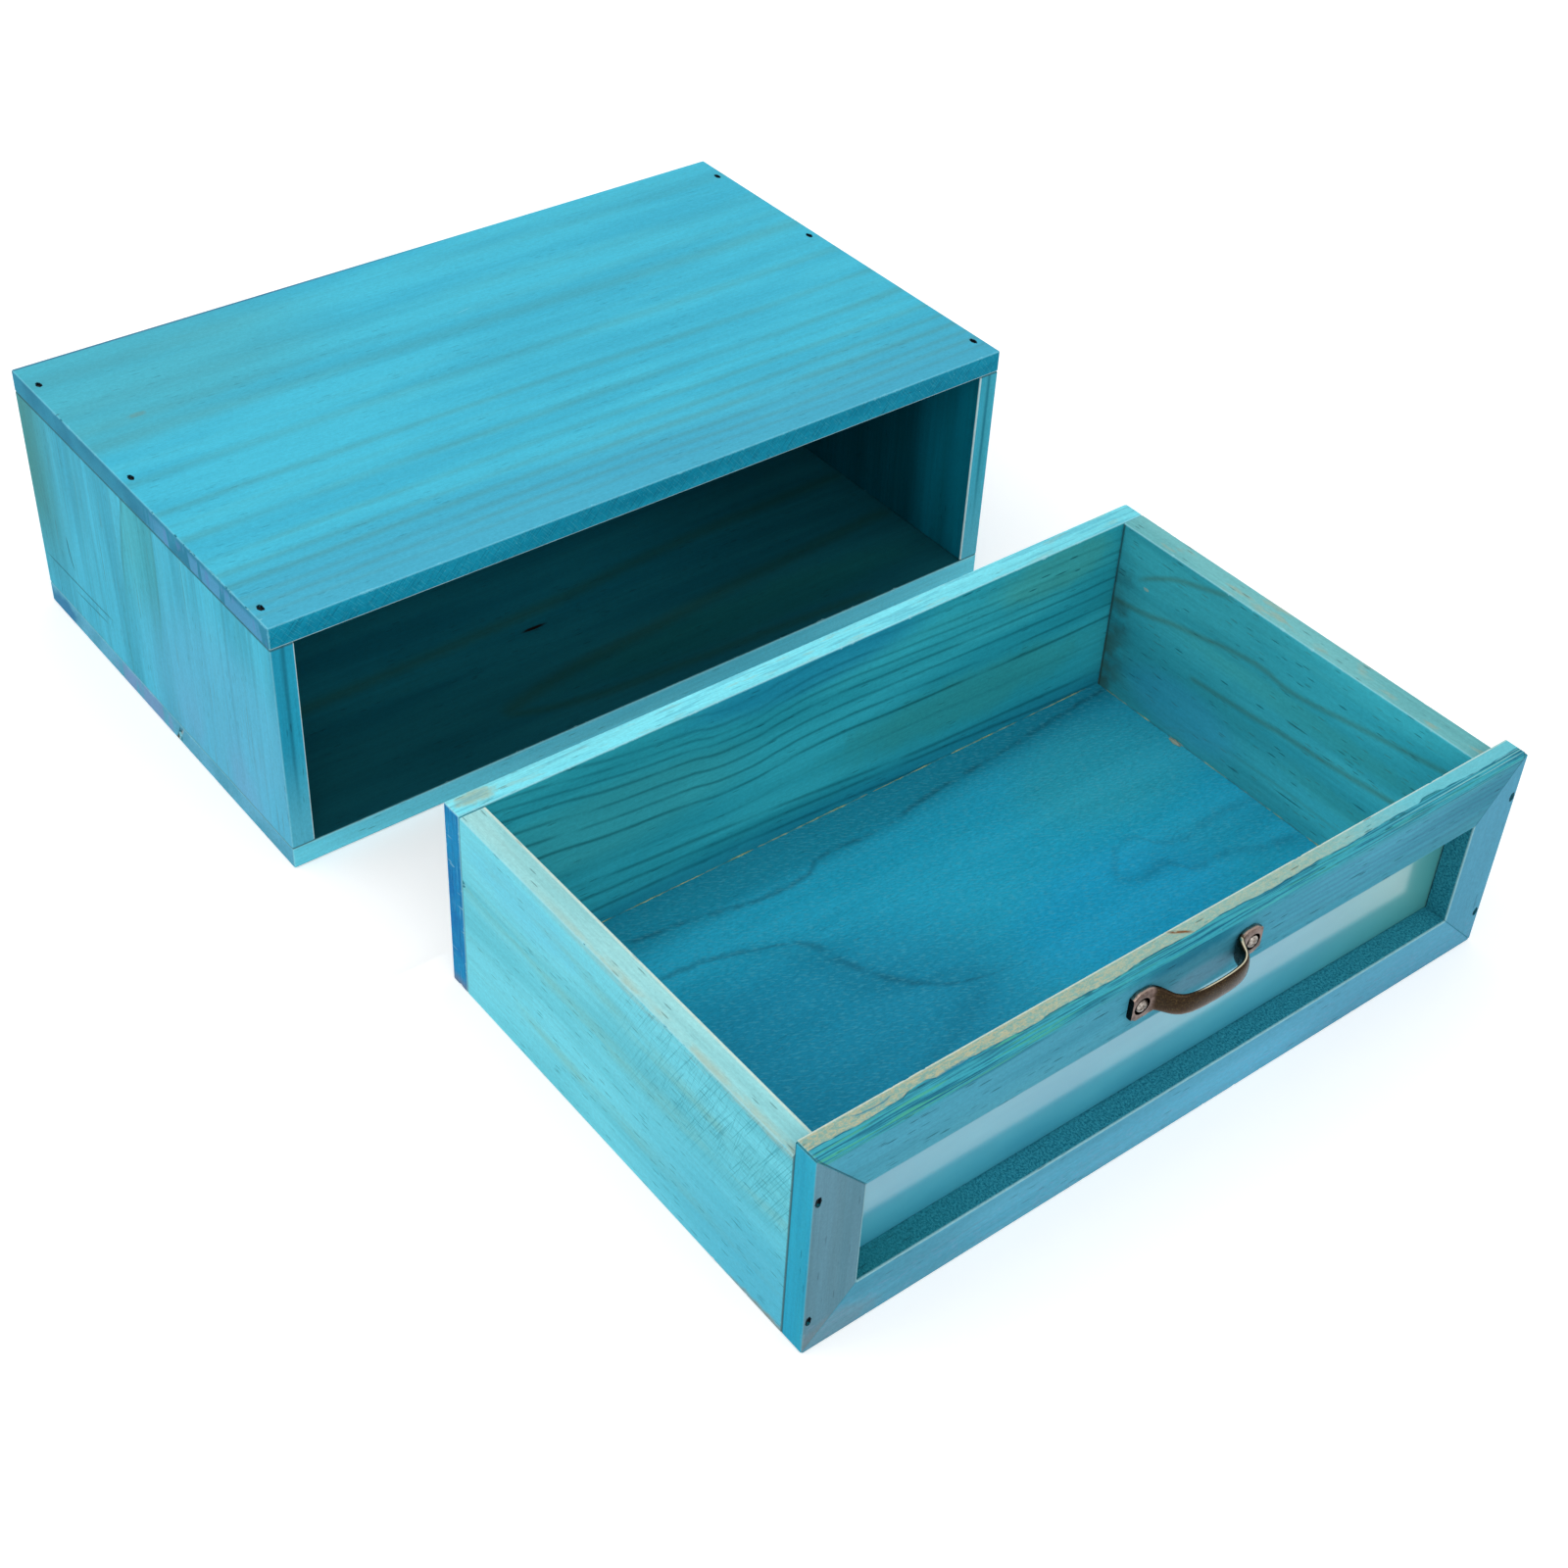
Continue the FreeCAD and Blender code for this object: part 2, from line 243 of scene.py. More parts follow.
    def curve(self, along, points):
        """Height of a smooth line through the points, over the coordinate that runs along it."""
        places, heights = zip(*points)
        first, length = places[0], places[-1] - places[0]
        low = min(heights)
        rise = max(max(heights) - low, 0.01)
        node = self.add("ShaderNodeFloatCurve")
        marks = node.mapping.curves[0].points
        for _ in points[2:]:
            marks.new(0.5, 0.5)
        for mark, (place, height) in zip(marks, points):
            mark.location = ((place - first) / length, (height - low) / rise)
        node.mapping.update()
        share = self.over(self.minus(along, first), length)
        return self.scaled(self.fill(node, {"Value": share}), rise, low)

    def trace(self, along, across, points, width, fade=8.0):
        """Mask of a line through given points that fades out at its ends; points are sorted along it."""
        points = sorted(points)
        start, end = points[0][0], points[-1][0]
        body = self.line(across, self.curve(along, points), width)
        return self.both(body, self.ramp(along, start - fade / 2, start + fade / 2),
                         self.ramp(along, end + fade / 2, end - fade / 2))

    def blot(self, first, second, centre, reach, ragged=0.0):
        """Mask of a soft oval patch on a face, from its centre and half lengths."""
        u = self.over(self.minus(first, centre[0]), reach[0])
        v = self.over(self.minus(second, centre[1]), reach[1])
        out = self.math("SQRT", self.plus(self.both(u, u), self.both(v, v)))
        if ragged:
            size = 0.6 * min(reach)
            out = self.scaled(self.noise((size, size, size), 3.0), ragged, out)
            out = self.minus(out, ragged / 2)
        return self.ramp(out, 1.0, 0.45)

    def edge_distance(self, node):
        """Distance on a board's surface from its nearest edge."""
        inside = []
        for value, start, end in zip(self.axes, *spans(node)):
            nearest = self.math("MINIMUM", self.minus(value, start), self.minus(end, value))
            inside.append(self.either(nearest, 0.0))
        smaller = self.math("MINIMUM", inside[0], inside[1])
        larger = self.either(inside[0], inside[1])
        return self.either(smaller, self.math("MINIMUM", larger, inside[2]))

    def raise_by(self, *amounts):
        """Add the product of the amounts to the surface's height, in millimetres, for the bump."""
        amount = self.both(*amounts)
        self.height = amount if self.height is None else self.plus(self.height, amount)

    def finish(self, roughness, bump=1.0, metallic=0.0, ior=1.5):
        self.fill(self.shader, {"Base Color": self.colour, "Roughness": roughness, "Metallic": metallic,
                                "IOR": ior})
        if self.height is not None:
            settings = {"Strength": bump, "Distance": millimetre, "Height": self.height}
            self.feed(self.shader.inputs["Normal"], self.fill(self.add("ShaderNodeBump"), settings))
        return self.material


olive_tint = (1.35, 0.80, 0.62)
wood_ior = 1.14                         # an almost dull stain, with no varnish
fibre_depth = 0.11                      # how far the fine fibres darken and lighten the stain
grit_depth = 0.21                       # the same for the finest grain
plain_stain = ("4fbcd0", "3fa8bc")
front_stain = ("45a8ba", "3597aa")


def along_grain(grain, long, wide):
    """Feature sizes for noise that is long along the grain and narrow across it."""
    return tuple(long if axis == grain else wide for axis in "xyz")


def dress(node, material):
    """Give a CAD node its material."""
    nodes[node].data.materials.clear()
    nodes[node].data.materials.append(material)


def wood(node, grain, faces, shared=plain_stain, olive=0.15, fibre=fibre_depth, thread=0.14, dashes=0.5,
         wear_and_highlight=0.5, wear_and_highlight_tone="9fdce6", seams=(), ior=wood_ior, extras=None):
    """One stained board: its faces' colours, grain, pores, worn edges with a painted highlight, and listed
    marks.

    faces maps a side to its lighter and deeper colour, and shared is the pair for the other sides.
    seams names the sides that meet another board, where the edge is a dark joint line.
    """
    p = Paint("wood_" + node)
    p.seed = 31.0 * sorted(nodes).index(node)
    broad = p.cloud(along_grain(grain, 130, 16), 0.36, 0.64, 3.0)
    p.colour = p.mix(broad, *shared)
    for side, pair in faces.items():
        p.paint(p.mix(broad, *pair), p.face(side))
    # Olive and grey-green drift of the stain, long along the grain
    p.tint(olive_tint, p.ramp(p.noise(along_grain(grain, 170, 9)), 0.50, 0.75, olive))
    p.vary(p.noise(along_grain(grain, 90, 1.6), 2.0, 0.6), thread)
    if extras:
        extras(p)
    # Fine fibres, and short dark pores and checks along the grain
    fine = p.noise(along_grain(grain, 12, 0.4), 2.0, 0.65)
    p.vary(fine, fibre)
    p.vary(p.noise(along_grain(grain, 1.5, 0.9), 3.0, 0.75), grit_depth)
    few = p.cloud((24, 24, 24), 0.44, 0.58)
    pore = p.both(p.specks(along_grain(grain, 13, 1.5), 0.19), few)
    p.dim(0.4, pore, dashes)
    p.raise_by(fine, 0.10)
    p.raise_by(pore, -0.15)
    # Worn arrises and a painted highlight: the stain rubbed thin in a pale fine line along every edge, wider
    # in a few spots
    away = p.minus(p.edge_distance(node), p.cloud((7, 7, 7), 0.55, 0.8, 4.0, 0.8))
    p.paint(wear_and_highlight_tone, p.ramp(away, 0.7, 0.1, wear_and_highlight))
    for side in seams:
        axis = "xyz".index(side[1])
        p.dim(0.28, p.line(p.axes[axis], spans(node)[side[0] == "+"][axis], 0.8, 0.3, 0.85))
    dress(node, p.finish(p.scaled(fine, 0.16, 0.55), bump=0.8, ior=ior))


def stripes(p, across, lines, tone, *masks):
    """Growth lines: soft stripes (place, half width, strength) that multiply the colour by a tone."""
    p.tint(tone, p.either(*[p.both(p.line(across, *line), strength) for *line, strength in lines]), *masks)


def scores(p, first, second, lean, pitch, length, mask, strength, tone, few=0.53):
    """Slanting saw marks: thin broken lines of about a length, at a lean in degrees to the first axis."""
    cosine, sine = math.cos(math.radians(lean)), math.sin(math.radians(lean))
    along = p.plus(p.both(first, cosine), p.both(second, sine))
    across = p.minus(p.both(second, cosine), p.both(first, sine))
    place = p.fill(p.add("ShaderNodeCombineXYZ"), {0: p.over(along, length), 1: p.over(across, pitch)})
    field = p.fill(p.add("ShaderNodeTexNoise"), {"Vector": place, "Scale": 1.0, "Detail": 1.5})
    marks = p.both(p.ramp(field, few, few + 0.12), mask)
    p.raise_by(marks, -0.06)
    p.paint(tone, marks, strength)


def brad_hole(p, depth, first, second, centre):
    """Painted shade of a punched hole over a brad, ragged by the grain."""
    hole = p.both(depth, p.blot(first, second, centre, (1.5, 2.6), 0.7))
    p.paint("08161d", p.ramp(hole, 0.2, 0.6))


# Case boards

top_bands = [(32, 7, 0.65), (4, 4.5, 0.6), (-19, 3.6, 0.75), (-38.5, 4.0, 0.85), (-54, 3.2, 0.75),
             (-64, 2.8, 0.75), (-72, 3.2, 0.9), (-80, 2.4, 0.7), (-86, 2.2, 0.7), (-92, 2.0, 0.5),
             (44, 5, 0.3), (60, 8, 0.25), (86, 8, 0.3), (-28, 2.2, 0.25), (-46, 2.0, 0.3), (16, 3.0, 0.2)]
upright_lines = [(-32, 2.2, 0.35), (-45, 1.2, 0.25), (-60, 1.2, 0.4), (-66, 1.4, 0.45), (-78, 1.0, 0.35),
                 (-85, 1.0, 0.4), (-91, 0.9, 0.4), (30, 1.2, 0.25), (45, 1.6, 0.45), (52, 1.3, 0.4),
                 (60, 1.4, 0.4), (68, 1.2, 0.45), (75, 1.6, 0.3), (88, 2.0, 0.3)]


def opening_highlight(p, value, plane):
    """Painted highlight: a pale line along an arris of the case's opening."""
    front = spans("case_top")[0][1]
    p.paint("dff3f2", p.line(value, plane, 0.75, 0.3), p.ramp(p.axes[1], front + 0.9, front + 0.3), 0.9)


def case_top_marks(p):
    x, y, z = p.axes
    up, end, edge = p.face("+z"), p.face("-x"), p.face("-y")
    bend = p.curve(x, [(-165, -0.6), (-90, 0.4), (-20, 0.9), (40, -0.1), (100, -1.2), (165, -0.8)])
    across = p.minus(y, p.plus(bend, p.waver((70, 12, 12), 2.4)))
    # Greenish cast at the rear left, greyer blue along the front
    p.paint("52abb8", up, p.blot(x, y, (-150, 75), (130, 60)), 0.5)
    p.paint("49a4c2", up, p.ramp(y, -50, -98), 0.65)
    stripes(p, across, top_bands, (1.2, 0.83, 0.75), up, p.cloud((70, 30, 30), 0.15, 0.5))
    knot = p.blot(x, y, (-140, 45), (5, 2), 0.8)
    p.paint("6f8a7c", up, knot, 0.4)
    for side, middle in ((-1, 7.5), (1, 18.5)):
        for place in (-88.5, middle, 84.5):
            brad_hole(p, p.ramp(z, 106.4, 107.2), x, y, (side * 161, place))
    flake = p.trace(x, y, [(0, 44), (6, 45)], 0.4, 3)
    p.paint("6ac6dc", up, flake)
    # Purple rear arris, blocks of blue end grain, and the saw marks of the front edge
    p.paint("3b4f78", p.ramp(y, 98.2, 99.8), p.ramp(x, 60, -60), p.ramp(z, 106.8, 107.8), 0.7)
    end = p.both(end, p.ramp(y, 0, -30), p.ramp(z, 108, 105))
    p.paint("58a1cd", end, p.cloud((30, 5, 30), 0.40, 0.47, 1.0), 0.7)
    p.paint("5f86be", end, p.cloud((30, 3, 12), 0.56, 0.66, 1.0), 0.5)
    scores(p, x, z, 48, 0.5, 10, edge, 0.55, "0a6680")
    scores(p, x, z, -50, 0.5, 6, edge, 0.22, "4fb9cc")
    # Painted highlight along the arris of the opening
    opening_highlight(p, z, spans("case_top")[0][2])
    p.paint("6cc3d2", edge, p.cloud((1.6, 1.6, 1.1), 0.70, 0.76, 1.0), 0.5)


def case_bottom_marks(p):
    x, y, z = p.axes
    up, end = p.face("+z"), p.face("-x")
    olive_lines = p.either(
        p.trace(x, y, [(-155, -33), (-60, -30), (0, -27), (70, -21), (155, -19)], 6.0),
        p.trace(x, y, [(-60, -78), (-20, -69), (20, -65), (60, -60), (100, -57), (155, -53)], 6.5),
        p.trace(x, y, [(-60, -79), (-20, -89), (20, -92), (60, -94), (110, -97)], 4.5),
        p.trace(x, y, [(-155, 12), (-40, 16), (60, 22), (155, 24)], 6.0))
    p.tint((1.9, 0.80, 0.6), up, olive_lines, 0.75)
    p.tint((1.2, 1.15, 0.9), up, p.blot(x, y, (60, -78), (118, 15), 0.4), 0.6)
    # Painted light: the floor is lighter further in, except towards the right wall
    p.lift(1.0, up, p.ramp(y, -75, 5, 1.7), p.minus(1.0, p.ramp(x, 0, 130, 0.65)))
    crack = p.blot(x, y, (-20, -38), (7.5, 1.2), 0.5)
    p.paint("1c0d0a", up, crack)
    blocks = p.cloud((30, 6, 30), 0.36, 0.5, 1.0)
    p.paint("7c98c4", end, p.blot(y, z, (16, 3), (32, 12), 0.5), blocks, 0.7)
    p.paint("2b78a8", end, p.blot(y, z, (88, 3), (16, 7), 0.7), 0.8)
    slant = p.scaled(z, 0.7, y)
    broken = p.mix(p.ramp(slant, -10.2, -9.6), "bfa98e", "3b4238")
    p.paint(broken, end, p.ramp(z, 10, 5), p.line(slant, -9.5, 2.0))
    p.paint("8fd6e0", p.face("-y"), p.ramp(z, 7.6, 9.0), p.cloud((22, 3, 3), 0.3, 0.6, 3.0), 0.5)


def case_side_marks(p):
    """Upright grain with an olive flame, rear streaks, scratches, a bluer lower front, and painted shade on
    the right wall's inner face further in.
    """
    x, y, z = p.axes
    edge = p.face("-y")
    out = p.ramp(p.both(p.normal[0], p.math("SIGN", x)), 0.55, 0.8)
    left_board = p.both(out, p.ramp(x, 10, -10))
    # Painted shade: the right wall's inner face gets darker further into the case
    p.lift(-0.5, p.face("-x"), p.ramp(x, -10, 10), p.ramp(y, -80, -62))
    p.paint("64bbdc", out, p.blot(y, z, (-70, 35), (95, 60)), 0.6)
    p.paint("438b89", left_board, p.ramp(y, 62, 98), p.ramp(z, 5, 65), 0.85)
    left = p.curve(z, [(9, 22), (40, 20.5), (60, 19), (80, 15.5), (100, 10)])
    right = p.curve(z, [(9, -4), (50, -8.5), (70, -11), (100, -12.5)])
    flame = p.both(p.ramp(p.minus(left, y), -1.5, 1.0), p.ramp(p.minus(y, right), -1.5, 1.0))
    p.tint((0.95, 0.86, 0.70), left_board, flame, p.ramp(z, 30, 85), 0.6)
    rims = p.either(p.line(y, left, 1.6), p.line(y, right, 1.6))
    p.paint("3c8a92", left_board, rims, p.ramp(z, 35, 70), 0.5)
    across = p.plus(y, p.waver((10, 10, 60), 3.0))
    stripes(p, across, upright_lines, (0.8, 0.72, 0.74), out, p.cloud((9, 9, 30), 0.2, 0.6))
    hairs = p.both(p.cloud((1.1, 1.1, 34), 0.60, 0.74), p.cloud((16, 16, 40), 0.42, 0.60))
    p.tint((1.1, 0.60, 0.55), out, hairs, 0.8)
    p.paint("74b2d6", out, p.ramp(z, 55, 12), p.ramp(y, 30, -60), p.cloud((30, 30, 60), 0.40, 0.7), 0.6)
    cuts = p.both(left_board, p.either(p.trace(z, y, [(33, 70), (38, 72), (46, 73)], 0.9, 3),
                                       p.trace(y, z, [(40, 27), (70, 26), (95, 25.5)], 0.6, 10),
                                       p.trace(y, z, [(45, 22.5), (70, 21.5)], 0.5)))
    p.paint("14505f", cuts, 0.75)
    p.raise_by(cuts, -0.2)
    off = p.math("ABSOLUTE", x)
    p.paint("62bcd2", edge, p.ramp(z, 62, 12), 0.7)
    p.paint("14657a", edge, p.line(off, 160.4, 1.4), p.ramp(z, 10, 70), 0.6)
    # Painted highlight along the arris of the opening
    opening_highlight(p, off, spans("case_right_side")[0][0])


# Drawer boards

back_lines = [(46.5, 1.2, 0.9), (53, 1.1, 0.75), (59.5, 1.1, 0.7), (65.5, 1.1, 0.7), (70, 1.0, 0.6),
              (74, 1.0, 0.55), (78, 1.2, 0.5), (84, 1.2, 0.3), (36, 1.4, 0.25)]
low_lines = [[(-143, 38), (-100, 34), (0, 26), (50, 22), (143, 19)],
             [(-143, 29), (-100, 27), (-40, 24), (100, 15), (143, 12)],
             [(-143, 21), (-100, 20), (-20, 17), (60, 12), (143, 10)]]
board_ticks = [(104, 80, 5), (112, 78, 6), (118, 83, 4), (98, 76, 4), (121, 76, 3), (-30, 70, 4),
               (64, 88, 5)]
side_ticks = [(-260, 52, 4), (-278, 52.5, 4), (-296, 54.5, 10), (-317, 57, 4), (-313, 75, 4),
              (-300, 22.5, 14), (-272, 18, 6), (-288, 36, 4), (-330, 40, 6), (-236, 52, 4), (-350, 62, 5)]
rail_lines = [(91, 0.9, 0.5), (88.5, 0.9, 0.5), (86, 1.0, 0.6), (84, 0.8, 0.5), (81.5, 1.0, 0.5),
              (78.5, 0.9, 0.4)]
rail_ticks = [(-96, 91, 4), (-90, 88, 5), (-85, 82, 4), (-109, 78, 5), (-104, 76.5, 4), (-45, 88, 5),
              (-125, 86, 4), (34, 82, 6), (52, 78, 5), (70, 84, 6), (92, 80, 5), (-60, 79, 4)]


def ticks(p, along, across, marks, mask, tone):
    """Short dark checks at (place, height, length)."""
    spots = [p.blot(along, across, spot, (length * 0.7, 0.42)) for *spot, length in marks]
    p.paint(tone, mask, p.either(*spots), 0.65)


def drawer_back_marks(p):
    x, y, z = p.axes
    inner, ends, up = p.face("-y", "+y"), p.face("-x", "+x"), p.face("+z")
    bend = p.curve(x, [(-145, 10), (-120, 8), (-90, 4.5), (-60, 2.2), (-38, 0), (-20, 1.5), (0, 2.6),
                       (30, 1.6), (60, 0.6), (100, -0.6), (145, -1.2)])
    shake = p.waver((40, 9, 9), 1.6)
    across = p.minus(z, p.plus(p.both(bend, p.scaled(z, 0.012, 0.45)), shake))
    p.paint("1485ad", inner, p.blot(x, z, (-10, 86), (70, 14)), 0.5)
    p.paint("14809f", inner, p.ramp(z, 26, 12), 0.6)
    p.paint("3f9a8c", inner, p.blot(x, z, (70, 38), (80, 16), 0.6), 0.4)
    p.paint("4bb4b4", inner, p.blot(x, z, (-90, 58), (70, 22)), 0.35)
    p.paint("5fb394", inner, p.blot(x, z, (110, 80), (40, 14), 0.6), 0.3)
    breadth = p.cloud((30, 9, 6), 0.2, 0.55)
    stripes(p, across, back_lines, (0.35, 0.42, 0.42), inner, breadth)
    low_part = p.either(*[p.trace(x, p.plus(z, shake), points, 1.4) for points in low_lines])
    p.tint((0.35, 0.42, 0.42), inner, low_part, breadth, 0.7)
    ticks(p, x, z, board_ticks, inner, "0c4a58")
    # End grain: dark and pale streaks, saw cuts, and a dull foot
    p.paint("0a5c94", ends, p.cloud((3, 1.2, 22), 0.45, 0.65, 3.0), 0.5)
    p.paint("5fb0d6", ends, p.cloud((3, 0.7, 9), 0.62, 0.72), 0.6)
    p.paint("8cc0c8", ends, p.cloud((9, 9, 2.0), 0.66, 0.70, 1.0), 0.5)
    p.paint("8f7f80", ends, p.ramp(z, 16, 9), 0.6)
    # Upper edge: flecks, a bare corner at the left, and deeper stain in streaks
    p.paint("a5b49c", up, p.cloud((14, 2.2, 4), 0.56, 0.70, 3.0), 0.3)
    p.paint("a9b08f", up, p.blot(x, y, (-143, -193), (10, 4), 0.9), 0.6)
    p.paint("2f8fae", up, p.cloud((22, 1.6, 4), 0.52, 0.66), 0.3)


def drawer_right_marks(p):
    _, y, z = p.axes
    flat, inner = p.face("-x", "+x"), p.face("-x")
    grain_lines = p.either(
        p.trace(y, z, [(-212, 71), (-220, 76), (-230, 81), (-240, 84), (-254, 88)], 2.2),
        p.trace(y, z, [(-200, 55), (-215, 57), (-230, 61), (-245, 64), (-260, 67), (-275, 68.5), (-288, 67),
                       (-300, 68), (-315, 70.5), (-335, 73.5), (-372, 78.5)], 2.3),
        p.trace(y, z, [(-244, 44), (-260, 45), (-275, 46), (-290, 47.5), (-310, 48.5), (-345, 51.5),
                       (-372, 54)], 2.3, 4),
        p.both(0.35, p.trace(y, z, [(-236, 14), (-245, 19), (-255, 22), (-270, 24), (-290, 25), (-325, 24)],
                             1.3)))
    p.tint((1.2, 0.62, 0.50), flat, grain_lines, 0.75)
    p.shade(p.scaled(p.both(inner, p.ramp(y, -250, -350)), 0.34, 0.92))
    p.paint("3fa6cc", inner, p.blot(y, z, (-242, 26), (38, 17)), 0.4)
    ticks(p, y, z, side_ticks, inner, "0c4a52")
    sooty = p.either(*[p.blot(y, z, (-202, height), (9, 5), 1.2) for height in (44, 53, 66)])
    p.paint("2b4438", inner, sooty, 0.25)
    p.paint("23302a", inner, p.ramp(y, -200.3, -199.2), 0.75)
    green = p.either(p.blot(y, z, (-300, 60), (80, 7), 0.5), p.blot(y, z, (-330, 35), (50, 6), 0.5))
    p.paint("4fae96", flat, green, 0.2)
    p.tint((1.1, 0.5, 0.4), inner, p.specks((1.6, 12, 1.3), 0.21), p.cloud((9, 40, 9), 0.38, 0.52), 0.7)
    # A dark grey-green cloud, thicker towards the rear corner and the bottom of the inner face
    rear_corner_dark = p.both(p.ramp(y, -216, -199), p.ramp(z, 80, 30), p.cloud((9, 9, 9), 0.3, 0.6, 3.0))
    p.paint("3f4f3a", inner, rear_corner_dark, 0.7)
    knot = p.blot(y, z, (-215, 68), (1.8, 0.9), 0.9)
    p.paint("b9c2a8", inner, knot, 0.6)
    p.paint("a5a88c", p.face("+z"), p.cloud((4, 16, 4), 0.55, 0.7), 0.45)


def drawer_left_marks(p):
    x, y, z = p.axes
    flat, outer, up = p.face("-x", "+x"), p.face("-x"), p.face("+z")
    breadth = p.cloud((9, 30, 5), 0.30, 0.65, 3.0)
    beige = p.either(p.trace(y, z, [(-198, 62), (-240, 58), (-300, 56), (-372, 58)], 7.5),
                     p.trace(y, z, [(-215, 80), (-250, 78), (-290, 74), (-340, 70)], 5.0),
                     p.trace(y, z, [(-230, 30), (-300, 27), (-372, 26)], 5.0))
    p.paint("86bcac", flat, beige, breadth, 0.38)
    p.paint("4cb4d2", flat, p.ramp(y, -270, -372), p.ramp(z, 75, 20), 0.75)
    p.paint("5fc4ea", flat, p.blot(y, z, (-236, 77), (42, 12), 0.5), 0.2)
    scored = p.both(outer, p.ramp(y, -262, -330), p.ramp(z, 40, 66))
    for lean, pitch, length, strength, few in ((-62, 0.5, 26, 0.45, 0.55), (-74, 0.45, 20, 0.3, 0.57),
                                               (4, 0.5, 14, 0.35, 0.56)):
        scores(p, y, z, lean, pitch, length, scored, strength, "2a8ea2", few)
    p.paint("2f7f92", outer, p.specks((1.2, 13, 1.2), 0.19), p.ramp(z, 78, 60), p.ramp(y, -215, -235), 0.75)
    p.paint("9a9284", flat, p.blot(y, z, (-366, 8), (34, 5), 0.6), 0.8)
    # Outer arris of the top edge: rubbed bare in broken patches, more of them towards the front
    rubbed = p.cloud((5, 24, 5), 0.36, 0.56, 4.0, 0.6)
    band = p.either(p.both(up, p.ramp(x, -148.5, -151.5)), p.both(flat, p.ramp(z, 85.5, 88.5)))
    p.paint("b2b79c", band, rubbed, p.ramp(y, -215, -300, 0.5), 0.95)
    # Painted highlight: a pale line along the inner arris of the top edge
    p.paint("dfe6d2", up, p.ramp(x, -144.2, -143.2), 0.7)


def floor_marks(p):
    """Plywood floor: two dark growth lines, a loop, and fine short dashes of the veneer."""
    x, y, _ = p.axes
    up = p.face("+z")
    p.paint("187a9c", up, p.blot(x, y, (-70, -300), (110, 75)), 0.6)
    p.paint("19798c", up, p.ramp(y, -228, -203), 0.6)
    p.paint("3d9f9f", up, p.blot(x, y, (110, -240), (60, 35)), 0.3)
    p.paint("119ad0", up, p.blot(x, y, (60, -300), (60, 40)), 0.35)
    shake = p.waver((9, 9, 9), 3.0, 3.0)
    wavy_x, wavy_y = p.plus(x, shake), p.plus(y, shake)
    long_line = p.trace(x, wavy_y, [(-143, -209), (-93, -213), (-60, -218), (-36, -221.5), (-23, -220.5),
                                    (-10, -216), (7, -216.5), (40, -212.5), (90, -208), (143, -203)], 2.1)
    tongue = p.trace(y, wavy_x, [(-298, 3), (-296, -7), (-290, -21), (-280, -31), (-262, -41), (-247, -47),
                                 (-240, -64), (-234, -84)], 3.6)
    tongue_root = p.trace(x, wavy_y, [(-104, -230), (-96, -233), (-78, -234.5), (-62, -241)], 2.2)
    loop_high = p.trace(x, wavy_y, [(67, -288), (70, -284), (75, -279), (86, -273.5), (94, -281),
                                    (105, -286), (118, -283.5), (142, -284)], 3.6)
    loop_low = p.trace(x, wavy_y, [(69, -286), (76, -292.5), (88, -291), (96, -299), (115, -300.5),
                                   (123, -304.5), (140, -309)], 3.6)
    dark = p.either(long_line, p.both(p.either(tongue, tongue_root), 0.8), p.both(loop_high, 0.4),
                    p.both(loop_low, 0.5))
    p.tint((0.9, 0.52, 0.52), up, dark, p.cloud((8, 8, 8), 0.25, 0.55, 3.0), 0.75)
    halo = p.either(
        p.trace(x, y, [(-143, -208), (-60, -216), (-15, -215), (40, -212), (143, -204)], 9),
        p.trace(y, x, [(-318, -52), (-302, -12), (-297, -6), (-280, -36), (-247, -52), (-234, -90)], 16),
        p.trace(x, y, [(67, -288), (90, -294), (120, -304), (140, -311)], 8))
    halo = p.either(p.both(up, halo), p.both(up, p.blot(x, y, (112, -290), (48, 16), 0.6)))
    p.lift(-0.11, halo)
    weave = p.noise((2.2, 0.8, 1), 3.0, 0.75)
    p.shade(p.scaled(weave, 0.7, 0.63))
    scores(p, x, y, -28, 0.8, 3.0, up, 0.22, "5fb6c6")
    p.raise_by(weave, 0.12)


# Front frame

def mitre_lines(p):
    """Dark joint lines from the frame's outer corners to the window's corners."""
    x, _, z = p.axes
    low_rail, top_rail = spans("front_bottom_rail"), spans("front_top_rail")
    (half, _, sill), (_, _, lintel) = low_rail[1], top_rail[0]
    base, crown = low_rail[0][2], top_rail[1][2]
    reach = half - spans("front_right_stile")[0][0]
    across = p.minus(half, p.math("ABSOLUTE", x))
    up_line = p.minus(p.minus(crown, z), p.both(across, (crown - lintel) / reach))
    down_line = p.minus(p.minus(z, base), p.both(across, (sill - base) / reach))
    near = p.either(p.line(up_line, 0, 0.7), p.both(p.line(down_line, 0, 0.6), 0.12))
    p.paint("2b4a57", p.face("-y"), near, p.ramp(across, reach + 0.6, reach), 0.8)


